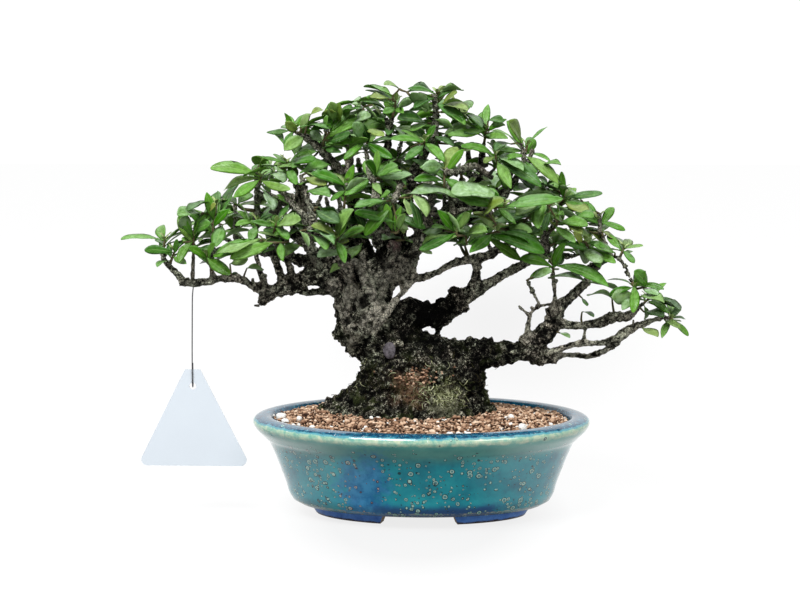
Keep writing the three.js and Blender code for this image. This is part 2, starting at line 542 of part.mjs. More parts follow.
// A leaf's skin grows from one side triangle of its shoot. Room widens it for the tests.
function leafRings(leaf, room = 0) {
  const half = (leaf.length * LEAF_WIDTH_SHARE) / 2;
  const at = (t, across, up) => {
    const arch = 0.34 * leaf.length * t * (1 - t) + up;
    return leaf.base.clone().addScaledVector(leaf.along, t * leaf.length)
      .addScaledVector(leaf.side, across).addScaledVector(leaf.normal, arch).toArray();
  };
  const rings = LEAF_STATIONS.map(([t, width, thick]) => [
    at(t, -width * half - room, room),
    at(t, width * half + room, room),
    at(t, 0, -thick * LEAF_THICK - room),
  ]);
  return { rings, tip: at(1, 0, 0) };
}

// The free side triangle of the shoot that faces the leaf best, near the height where it grows
function freeFacet(shoot, along, origin) {
  let best = null;
  let bestFit = -Infinity;
  shoot.triangles.forEach(([a, b, c, side], index) => {
    if (!side) return;
    const [p, q, r] = [a, b, c].map((k) => vec(shoot.points[k]));
    const middle = p.clone().add(q).add(r).divideScalar(3);
    const facing = q.sub(p).cross(r.sub(p)).normalize().dot(along);
    const fit = facing - 0.1 * middle.distanceTo(origin);
    if (facing > 0.2 && fit > bestFit) [best, bestFit] = [{ index, middle, corners: [a, b, c] }, fit];
  });
  return best;
}

function shootSkin({ green }) {
  const end = vec(green[green.length - 1]);
  const bud = end.clone().sub(vec(green[green.length - 2])).setLength(2.6).add(end).toArray();
  const rows = [];
  for (let i = 0; i + 1 < green.length; i++) {
    const steps = Math.max(1, Math.round(vec(green[i]).distanceTo(vec(green[i + 1])) / SHOOT_STEP));
    for (let k = 0; k < steps; k++) rows.push(branchPoint([green[i], green[i + 1]], k / steps));
  }
  rows.push(green[green.length - 1], [...bud, 0.5]);
  const points = tubeRings(rows, 4).flat();
  const triangles = [[0, 2, 1, false], [0, 3, 2, false]];
  for (let i = 0; i + 4 < points.length; i++) {
    const next = i % 4 === 3 ? i - 3 : i + 1;
    triangles.push([i, next, next + 4, true], [i, next + 4, i + 4, true]);
  }
  const top = points.length - 4;
  triangles.push([top, top + 1, top + 2, false], [top, top + 2, top + 3, false]);
  return { points, triangles, rows, solid: toManifold(points, triangles.map((t) => t.slice(0, 3))) };
}

// Fits a leaf between the height on the shoot that it grows from and its tip, or gives null
function fitLeaf(shoot, height, tip, facing) {
  const origin = vec(branchPoint(shoot.rows.slice(0, -1), height));
  const aim = vec(tip).sub(origin).normalize();
  const facet = freeFacet(shoot, aim, origin);
  if (!facet) return null;
  const along = vec(tip).sub(facet.middle);
  const length = along.length();
  along.normalize();
  const normal = facing.clone().addScaledVector(along, -facing.dot(along)).normalize();
  const leaf = { base: facet.middle, along, length, normal, side: along.clone().cross(normal) };
  const blade = leafRings(leaf);
  const apart = (turn) => blade.rings[0].reduce(
    (sum, p, k) => sum + vec(p).distanceTo(vec(shoot.points[facet.corners[(k + turn) % 3]])), 0);
  const turn = [0, 1, 2].sort((m, n) => apart(m) - apart(n))[0];
  const corners = [0, 1, 2].map((k) => facet.corners[(k + turn) % 3]);
  const foot = corners.map((k) => shoot.points[k]);
  const wide = leafRings(leaf, LEAF_ROOM);
  return {
    ...blade,
    index: facet.index,
    corners,
    solid: loft([foot, ...blade.rings], blade.tip),
    wide: loft(wide.rings, wide.tip),
  };
}

// Whether an edge of one triangle passes through the other; those with a corner in common are left out
function crosses(points, one, other) {
  if (one.some((corner) => other.includes(corner))) return false;
  const [p, q] = [one, other].map((triangle) => triangle.map((k) => vec(points[k])));
  if (!new THREE.Box3().setFromPoints(p).intersectsBox(new THREE.Box3().setFromPoints(q))) return false;
  const pierces = (edges, [a, b, c]) => edges.some((start, k) => {
    const way = edges[(k + 1) % 3].clone().sub(start);
    const ray = new THREE.Ray(start, way.clone().normalize());
    const hit = ray.intersectTriangle(a, b, c, false, new THREE.Vector3());
    return hit !== null && hit.distanceTo(start) < way.length();
  });
  return pierces(p, q) || pierces(q, p);
}

function touches(solid, others) {
  const box = solid.boundingBox();
  return others.some((other) => {
    const near = [0, 1, 2].every((k) => box.min[k] < other.box.max[k] && box.max[k] > other.box.min[k]);
    return near && solid.intersect(other.solid).volume() > 1e-4;
  });
}

// The shoot's points and triangles with the leaf's added, or null where the new skin would cross the old
function welded(shoot, leaf) {
  const points = [...shoot.points];
  const skin = shoot.triangles.filter((_, index) => index !== leaf.index);
  const triangles = [];
  let from = leaf.corners;
  for (const ring of leaf.rings) {
    const to = [0, 1, 2].map((k) => points.length + k);
    points.push(...ring);
    for (let k = 0; k < 3; k++) {
      const next = (k + 1) % 3;
      triangles.push([from[k], from[next], to[next], false], [from[k], to[next], to[k], false]);
    }
    from = to;
  }
  points.push(leaf.tip);
  for (let k = 0; k < 3; k++) triangles.push([from[k], from[(k + 1) % 3], points.length - 1, false]);
  const corners = (triangle) => triangle.slice(0, 3);
  const all = [...skin, ...triangles].map(corners);
  const clear = triangles.map(corners).every((one) => !all.some((other) => crosses(points, one, other)));
  return clear ? { points, triangles: [...skin, ...triangles] } : null;
}

function listedLeaf([x, y, z, tilt], attempt) {
  const step = Math.ceil(attempt / 2) * (attempt % 2 ? -2 : 2);
  const facing = new THREE.Vector3(0, -Math.sin(radians(tilt)), Math.cos(radians(tilt)));
  return [[x, y + step, z + 0.4 * step], facing];
}

function seededLeaf(shoot, spray, rank, attempt) {
  const seed = 1000 + spray * 97 + rank * 13;
  const [cx, cy, cz] = shoot.rows[shoot.rows.length - 2];
  const outward = Math.atan2(cy - 4, cx * 0.5);
  const turn = outward + radians(137.5 * (rank + 1)) + (draw(seed, attempt) - 0.5) * 1.6;
  const rise = radians(-16 + 50 * draw(seed, attempt + 50));
  const length = 19 + 10 * draw(seed, attempt + 100);
  const sideways = Math.cos(turn) * Math.cos(rise) * (cx * Math.cos(turn) > 0 ? OUTER_REACH : 1);
  const tip = [
    cx + length * sideways,
    cy + length * Math.sin(turn) * Math.cos(rise),
    cz + length * Math.sin(rise),
  ];
  return [tip, new THREE.Vector3(0.5 * Math.cos(outward), 0.5 * Math.sin(outward), 1)];
}

// Leaves keep clear of the wood, of every other shoot and its leaves, and of each other
function growLeaves(shoots, woods) {
  const boxed = (solid, owner) => ({ solid, owner, box: solid.boundingBox() });
  const solids = [...woods.map((solid) => boxed(solid, -1)), ...shoots.map((s, i) => boxed(s.solid, i))];
  const grow = (owner, rank, maker, tries) => {
    const shoot = shoots[owner];
    for (let attempt = 0; attempt < tries; attempt++) {
      const [tip, facing] = maker(attempt);
      const leaf = fitLeaf(shoot, Math.max(0.15, 0.94 - 0.16 * rank), tip, facing);
      const strangers = solids.filter((solid) => solid.owner !== owner);
      const grown = leaf && !touches(leaf.wide, strangers) && welded(shoot, leaf);
      if (grown) {
        Object.assign(shoot, grown);
        solids.push(boxed(leaf.solid, owner));
        return;
      }
    }
  };
  SPRAYS.forEach(([, , , , listed], owner) => {
    listed.forEach((tip, rank) => grow(owner, rank, (attempt) => listedLeaf(tip, attempt), LISTED_TRIES));
  });
  SPRAYS.forEach(([, , , , listed], owner) => {
    const wanted = listed.length ? FRONT_LEAVES : BACK_LEAVES;
    for (let rank = listed.length; rank < wanted; rank++) {
      grow(owner, rank, (attempt) => seededLeaf(shoots[owner], owner, rank, attempt), SEEDED_TRIES);
    }
  });
}

// Tag and its wire
function makeTag() {
  const shape = new THREE.Shape();
  const low = TAG_HALF_BOTTOM - TAG_CORNER;
  shape.moveTo(-low, TAG_BOTTOM);
  shape.lineTo(low, TAG_BOTTOM);
  shape.absarc(low, TAG_BOTTOM + TAG_CORNER, TAG_CORNER, -Math.PI / 2, radians(25), false);
  shape.lineTo(TAG_HALF_TOP, TAG_TOP);
  shape.lineTo(-TAG_HALF_TOP, TAG_TOP);
  shape.absarc(-low, TAG_BOTTOM + TAG_CORNER, TAG_CORNER, radians(155), radians(270), false);
  const hole = new THREE.Path();
  hole.absarc(0, TAG_HOLE_Z, TAG_HOLE_RADIUS, 0, 2 * Math.PI, true);
  shape.holes.push(hole);
  const settings = { depth: TAG_THICK, bevelEnabled: false, curveSegments: 6 };
  const plate = new THREE.ExtrudeGeometry(shape, settings);
  plate.rotateX(Math.PI / 2);
  plate.translate(TAG_CENTRE_X, TAG_Y + TAG_THICK / 2, 0);
  return fromGeometry(plate);
}

// Assembly
function material(color, roughness, metalness = 0) {
  return new THREE.MeshStandardMaterial({ color, roughness, metalness });
}

const glaze = material(0x2f7470, 0.16);
const akadama = material(0xb98a66, 0.95);
const bark = material(0x4a463d, 0.92);
const leafGreen = material(0x3f7f26, 0.38);
const screenBlack = material(0x22262a, 0.6);
const tagWhite = material(0xf4f6f7, 0.35);
const wireGrey = material(0x55585c, 0.45, 0.8);

const bonsai = new THREE.Group();

function addPart(name, solid, look) {
  const mesh = solid.getMesh();
  const geometry = new THREE.BufferGeometry();
  geometry.setAttribute('position', new THREE.BufferAttribute(new Float32Array(mesh.vertProperties), 3));
  geometry.setIndex(new THREE.BufferAttribute(new Uint32Array(mesh.triVerts), 1));
  geometry.computeVertexNormals();
  const part = new THREE.Mesh(geometry, look);
  part.name = name;
  bonsai.add(part);
}

const lines = SPRAYS.map(shootLine);
const woods = makeWood(lines);
const shoots = lines.map(shootSkin);
growLeaves(shoots, woods);
addPart('pot', makePot(), glaze);
addPart('soil', makeSoil(), akadama);
addPart('trunk', joined(woods), bark);
addPart('drain_screen_left', makeScreen(-DRAIN_X), screenBlack);
addPart('drain_screen_right', makeScreen(DRAIN_X), screenBlack);
SPRAYS.forEach(([name], i) => {
  const { points, triangles } = shoots[i];
  addPart(`spray_${name}`, toManifold(points, triangles.map((t) => t.slice(0, 3))), leafGreen);
});

// The origin is the middle of the underside of the plant's box, with the tag and its wire left out of it
const box = new THREE.Box3().setFromObject(bonsai);
bonsai.position.set(-(box.min.x + box.max.x) / 2, -(box.min.y + box.max.y) / 2, -box.min.z);

addPart('tag_wire', tube(WIRE_ROUTE.map((p) => [...p, WIRE_RADIUS]), 8), wireGrey);
addPart('tag', makeTag(), tagWhite);

const group = new THREE.Group();
group.add(bonsai);
export default group;
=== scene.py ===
"""A pyracantha bonsai in its oval glazed pot, dressed for rendering.

Tables and shapes are in millimetres in the pot's own frame: the origin is on the ground under the middle of
the pot, +X to the right, +Y to the back, +Z up. place() brings them into the row frame, in metres.
"""

import math

import bpy
import numpy as np
from mathutils import Matrix, Vector, kdtree, noise
from mathutils.bvhtree import BVHTree


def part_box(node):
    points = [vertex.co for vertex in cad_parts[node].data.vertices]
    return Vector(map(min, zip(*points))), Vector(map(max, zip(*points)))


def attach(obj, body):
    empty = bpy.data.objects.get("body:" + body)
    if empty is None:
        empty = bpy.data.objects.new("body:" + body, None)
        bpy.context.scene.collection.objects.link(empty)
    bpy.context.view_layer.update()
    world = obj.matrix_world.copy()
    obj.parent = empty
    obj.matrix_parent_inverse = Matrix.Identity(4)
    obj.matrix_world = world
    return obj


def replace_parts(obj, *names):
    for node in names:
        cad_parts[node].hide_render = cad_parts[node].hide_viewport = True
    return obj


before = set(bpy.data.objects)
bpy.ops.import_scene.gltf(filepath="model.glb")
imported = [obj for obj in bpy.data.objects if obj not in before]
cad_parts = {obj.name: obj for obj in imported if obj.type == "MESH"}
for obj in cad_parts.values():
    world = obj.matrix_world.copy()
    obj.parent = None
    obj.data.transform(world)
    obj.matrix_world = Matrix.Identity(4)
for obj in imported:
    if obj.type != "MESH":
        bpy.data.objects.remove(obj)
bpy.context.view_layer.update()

MM = 0.001
POT_LOW, POT_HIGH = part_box("pot")
CENTRE = np.array([(POT_LOW[0] + POT_HIGH[0]) / 2, (POT_LOW[1] + POT_HIGH[1]) / 2, 0.0])

# Camera: the photograph is 800 by 611 pixels, and the view is held as it was measured in it
PHOTO_WIDTH = 800
PHOTO_HEIGHT = 611
FOCAL_PIXELS = 2003
SENSOR_MM = 36
VIEW_ELEVATION = math.radians(7.3)
VIEW_AZIMUTH = math.radians(3.0)
VIEW_ROLL = math.radians(0.1)
VIEW_DISTANCE = 1300
AIM_SIDEWAYS = -13.6
AIM_HEIGHT = 137.2
CLIP_END = 20
MM_PER_PIXEL = VIEW_DISTANCE / FOCAL_PIXELS

# The pot, the soil and the trunk, as in the part's source
POT_HALF_LENGTH = 110
POT_HALF_DEPTH = 77
SOIL_EDGE = 62.4
SOIL_AT_TRUNK = 68.6
ROOT_BOTTOM = 50
ROOT_FLARE_TOP = 70.2
DRAIN_X = 38
DRAIN_RADIUS = 9
GAP = 0.3
POT_PROFILE = [
    [30.2, 7.6], [25.6, 10.4], [23, 15], [20.3, 24], [11.7, 46], [7, 52], [2.2, 57], [0, 61.4],
    [1.5, 64.2], [5.5, 65.6], [10.4, 65.4], [12.6, 62.4], [19, 42], [27, 20], [33, 13.5],
]
FOOT_SECTION = [[35, 9, 0], [40.5, 0, 1], [50, 0, 1], [47, 9, 0]]
FOOT_SPAN = [[18, 75], [21, 72]]
ROOT_RIDGES = [
    [178, 0.16], [212, 0.1], [246, 0.13], [278, 0.09], [312, 0.13], [352, 0.12],
    [38, 0.12], [78, 0.1], [116, 0.13], [148, 0.09],
]
RIDGE_WIDTH = 0.2
TRUNK_SECTIONS = [
    [ROOT_BOTTOM, -8, 0, 58, 37, 1], [ROOT_FLARE_TOP, -8, 0, 58, 37, 1], [75, -6, 0, 52.5, 33, 0.8],
    [80, -4, 1, 47.5, 30.5, 0.6], [87, -1, 2, 43, 28, 0.4], [94, 1, 2, 41, 26, 0.25],
    [99, 0, 3, 38.5, 25, 0.2], [105, -6, 3, 41, 24, 0.1], [111, -12, 3, 40, 23, 0],
    [117, -24, 3, 34, 22.5, 0], [123, -31, 3, 24, 21.5, 0], [130, -34, 3, 22, 20, 0],
    [138, -37, 3, 20, 19, 0], [146, -36, 3, 17.5, 16.5, 0], [154, -30, 3, 15, 13.5, 0],
    [162, -25, 4, 9.5, 9, 0],
]
# The trunk's foot where it meets the soil: its middle and its half width and depth
_, FLARE_X, FLARE_Y, FLARE_WIDTH, FLARE_DEPTH, _ = TRUNK_SECTIONS[1]

# Branches, as in the part's source: rows of x, y, z and radius from the foot up
BRANCHES = {
    "left_limb": [
        [-45, 2, 151, 14], [-56, 0, 155, 11.5], [-67, -3, 157, 8.5], [-75, -5, 155, 6.5],
        [-83, -7, 150, 6], [-91, -9, 148, 5.5], [-99, -10, 145, 4.6],
    ],
    "left_stub": [[-95, -9, 148, 4.5], [-101, -10, 143, 4.4], [-103, -10, 138, 2.8]],
    "left_reach": [
        [-96, -9, 146, 4.6], [-108, -12, 151, 3.6], [-117, -14, 156, 3], [-128, -15, 156, 2.9],
        [-137, -15, 154, 3.2], [-146, -14, 153, 2.7], [-156, -12, 153, 2.8],
    ],
    "left_end": [[-152, -12, 153, 2.6], [-158, -11, 159, 2.4], [-164, -10, 165, 2.1], [-167, -10, 170, 1.8]],
    "under_strand": [[-51, 8, 146, 4], [-64, 8, 145, 2.9], [-75, 4, 145, 2.6], [-86, -5, 149, 3]],
    "left_riser_a": [
        [-98, -10, 147, 3], [-103, -8, 157, 2.4], [-106, -4, 167, 2.1], [-108, -2, 180, 2.1],
        [-106, -4, 197, 2.2], [-105, -6, 209, 1.9], [-104, -8, 216, 1.5],
    ],
    "left_riser_b": [
        [-88, -8, 150, 4.2], [-92, -5, 161, 3.2], [-97, 2, 172, 2.6], [-100, 6, 184, 2.2], [-97, 6, 196, 2],
    ],
    "left_riser_c": [[-83, -7, 152, 3.6], [-85, -10, 166, 2.6], [-90, -14, 174, 2.2], [-94, -20, 183, 1.8]],
    "left_arm": [
        [-49, -2, 158, 7], [-60, -6, 167, 4.6], [-68, -10, 173, 3.6], [-77, -12, 181, 3],
        [-86, -12, 185, 2.2],
    ],
    "left_upright": [
        [-57, 2, 152, 6], [-66, 4, 162, 3.6], [-71, 5, 170, 3.1], [-75, 5, 178, 2.9], [-77.5, 4, 189, 2.8],
        [-79, 2, 202, 2.6], [-80, 0, 213, 2.4], [-83, -1, 223, 1.8],
    ],
    "mid_limb": [
        [-21, 2, 130, 13], [-10, 4, 130.5, 10.6], [2, 4, 131.5, 9.6], [10, 4, 130, 7.8], [17, 3, 135, 7.8],
        [25, 2, 140.5, 6.8], [34, 0, 147, 4.8], [45, -2, 152, 3.2], [54, -3, 158, 2.9], [63, -4, 163, 3],
        [72, -6, 169, 2.8], [78, -6, 176, 2.6], [79, -6, 183, 2.1],
    ],
    "mid_riser": [[34.5, 0, 147, 4.2], [35.5, -2, 157, 3.8], [36, -5, 167, 3.5]],
    "up_right": [
        [-15, 4, 154, 5.5], [-6, -4, 155, 3.6], [3, -8, 157, 2.7], [11, -8, 160, 2.5], [17, -8, 163.5, 2.5],
        [22, -8, 166, 2.9], [31, -6, 168, 3], [37, -5, 169, 3.6], [45, -4, 171, 3.9], [51, -4, 175, 3.5],
        [59, -2, 180, 2.6], [65, -2, 186, 2],
    ],
    "cut_branch": [
        [-27.5, -21, 127, 3], [-23.5, -21, 132, 3.3], [-19.5, -20, 137.5, 3.3], [-15, -18, 143.5, 3.1],
        [-11, -13, 149, 3], [-6, -7, 154, 3],
    ],
    "low_limb": [
        [0, 0, 107, 13], [6, -1, 106, 11.8], [13, -2, 104, 10.4], [22, -3, 105, 10.4], [32, -4, 106, 10.2],
        [42, -4, 106, 10.2], [54, -5, 106, 7.8], [64, -6, 108.5, 7.8], [72, -7, 112, 8], [79, -8, 119, 7.5],
        [85, -8, 127, 7], [87, -8, 135, 5.8], [93, -8, 141, 4.3], [98, -9, 146, 3.8], [103, -9, 151, 3.8],
        [107, -10, 155, 3.4], [109, -10, 162, 2.4], [110, -10, 167, 1.9],
    ],
    "low_reach": [
        [72, -6, 106, 7], [80, -7, 105, 5.6], [87, -8, 108.5, 3.5], [93, -9, 112, 2.3],
        [102, -11, 114.5, 2.2], [112, -13, 115, 2.2], [120, -14, 116, 2.7], [126, -14, 118.5, 3.6],
        [132, -14, 122.5, 4.2], [139, -14, 126.5, 3], [148, -14, 130, 2], [156, -14, 132, 1.5],
    ],
    "low_lump": [[77, -6, 108, 6], [85, -6, 104, 4.4], [89, -6, 102, 2.4]],
    "low_second": [
        [83, -8, 128, 5], [94, -6, 126, 3.2], [103, -4, 125, 3], [111, -3, 126, 3.4], [117, -3, 127.5, 4.4],
        [125, -4, 131, 4.4], [133, -5, 131.5, 3.6], [140, -7, 138, 2.4],
    ],
    "low_under": [
        [85, -5, 105, 3.8], [93, -4, 106, 2.1], [100, -2, 105.5, 2], [108, -3, 105, 2], [115, -7, 108, 2.3],
        [121.5, -11, 111.5, 2.3], [127, -13, 116, 2.4],
    ],
    "low_twig": [
        [69, -8, 115, 2.6], [70, -14, 132, 1.5], [75, -16, 138, 1.4], [81, -14, 140, 1.3], [88, -9, 139, 1.8],
    ],
    "low_twig_side": [[71, -14, 131, 1.5], [67, -17, 136, 1.3], [63, -19, 139, 1.2]],
    "low_twig_up": [[77, -16, 139, 1.4], [75, -18, 143, 1.2], [72, -20, 149, 1.2], [68, -22, 156, 1]],
    "low_vertical": [[87, -9, 132, 2.2], [86, -14, 149, 1.8], [85, -15, 159, 1.4]],
    "low_link": [[107, -4, 127, 1.6], [106, -8, 122, 1.3], [104, -12, 114, 1.6]],
    "far_arch": [
        [109, -10, 158, 2.4], [116, -13, 167, 1.8], [124, -14, 171, 1.6], [130, -14, 166, 1.4],
        [134, -14, 157, 1.2],
    ],
    "pale_loop": [
        [-45, -12, 169, 1.8], [-40, -15.5, 166.5, 2], [-38, -17, 159, 2.1], [-35, -16.5, 154, 2.2],
        [-30, -12, 151, 2.2],
    ],
    "swirl": [
        [-38, -6, 173, 2.6], [-37.5, -10, 167, 2.9], [-35.5, -12.5, 160, 3], [-30, -13, 157, 3],
        [-24.5, -12, 160.5, 3], [-20.5, -9, 167, 3],
    ],
    "crown_stub": [[-24, -2, 156, 7], [-19, -8, 164, 5.4], [-17, -10, 172, 5], [-16, -10, 180, 4.7]],
    "leader_left": [
        [-33, 4, 156, 9], [-39, 6, 180, 6.2], [-43, 8, 199, 5], [-48, 8, 217, 4.4], [-57, 6, 229, 3.7],
        [-64, 4, 237, 3.1], [-72, 2, 245, 2.5], [-78, 1, 248, 1.8],
    ],
    "leader_mid": [
        [-22, 6, 160, 8.5], [-16, 9, 182, 6.8], [-11, 10, 202, 5.4], [-5, 9, 222, 4.4], [3, 6, 238, 3.5],
        [8, 3, 250, 2.7], [9, 1, 257, 2],
    ],
    "leader_top": [
        [-15, 9, 184, 5], [-22, 8, 208, 4], [-23, 5, 229, 3.1], [-21, 2, 244, 2.5], [-19, 0, 256, 1.8],
    ],
    "leader_right": [
        [-17, 8, 163, 8], [0, 14, 180, 6.4], [15, 14, 194, 5.6], [28, 12, 204, 5], [36, 8, 219, 4.1],
        [39, 5, 231, 3], [40, 3, 240, 1.8],
    ],
    "right_arm": [
        [20, 14, 197, 5], [37, 10, 202, 3.8], [51, 4, 209, 3], [60, -2, 218, 2.4], [65, -5, 229, 1.9],
    ],
    "upright": [[-6, -7, 158, 3.5], [-4, -10, 167, 3.3], [-3, -12, 176.5, 3], [-2, -13, 188, 2.3]],
    "back_far_left": [[-56, 6, 156, 8], [-77, 24, 163, 4.8], [-99, 33, 167, 3.6], [-119, 38, 170, 2.6]],
    "back_left": [
        [-39, 10, 156, 8], [-51, 29, 180, 5.6], [-66, 39, 193, 4.4], [-83, 47, 201, 3.3], [-96, 50, 207, 2.2],
    ],
    "back_mid": [
        [-26, 10, 156, 8], [-23, 32, 183, 5.8], [-22, 44, 202, 4.5], [-18, 48, 224, 3.3],
        [-16, 47, 238, 2.2],
    ],
    "back_right": [
        [-24, 12, 157, 7.5], [-6, 30, 174, 5.8], [19, 44, 187, 4.6], [43, 50, 190, 3.4], [58, 51, 190, 2.4],
    ],
    "back_low_right": [
        [7, 10, 123, 7], [40, 27, 146, 4], [64, 36, 160, 3.1], [84, 42, 166, 2.7], [98, 45, 165, 2.2],
    ],
    "back_low": [[-30, 14, 136, 8], [-33, 35, 148, 4.8], [-42, 47, 158, 3.5], [-50, 56, 166, 2.5]],
    "front_left": [[-44, -2, 156, 7], [-52, -22, 175, 4.2], [-61, -34, 184, 3.2], [-68, -42, 189, 2.2]],
    "front_mid": [[-28, -4, 158, 6.5], [-27, -22, 182, 4], [-28, -34, 198, 3.2], [-28, -39, 209, 2.2]],
    "front_right": [[-18, -2, 156, 6], [3, -20, 182, 3.9], [15, -30, 194, 3.1], [26, -36, 202, 2.2]],
}

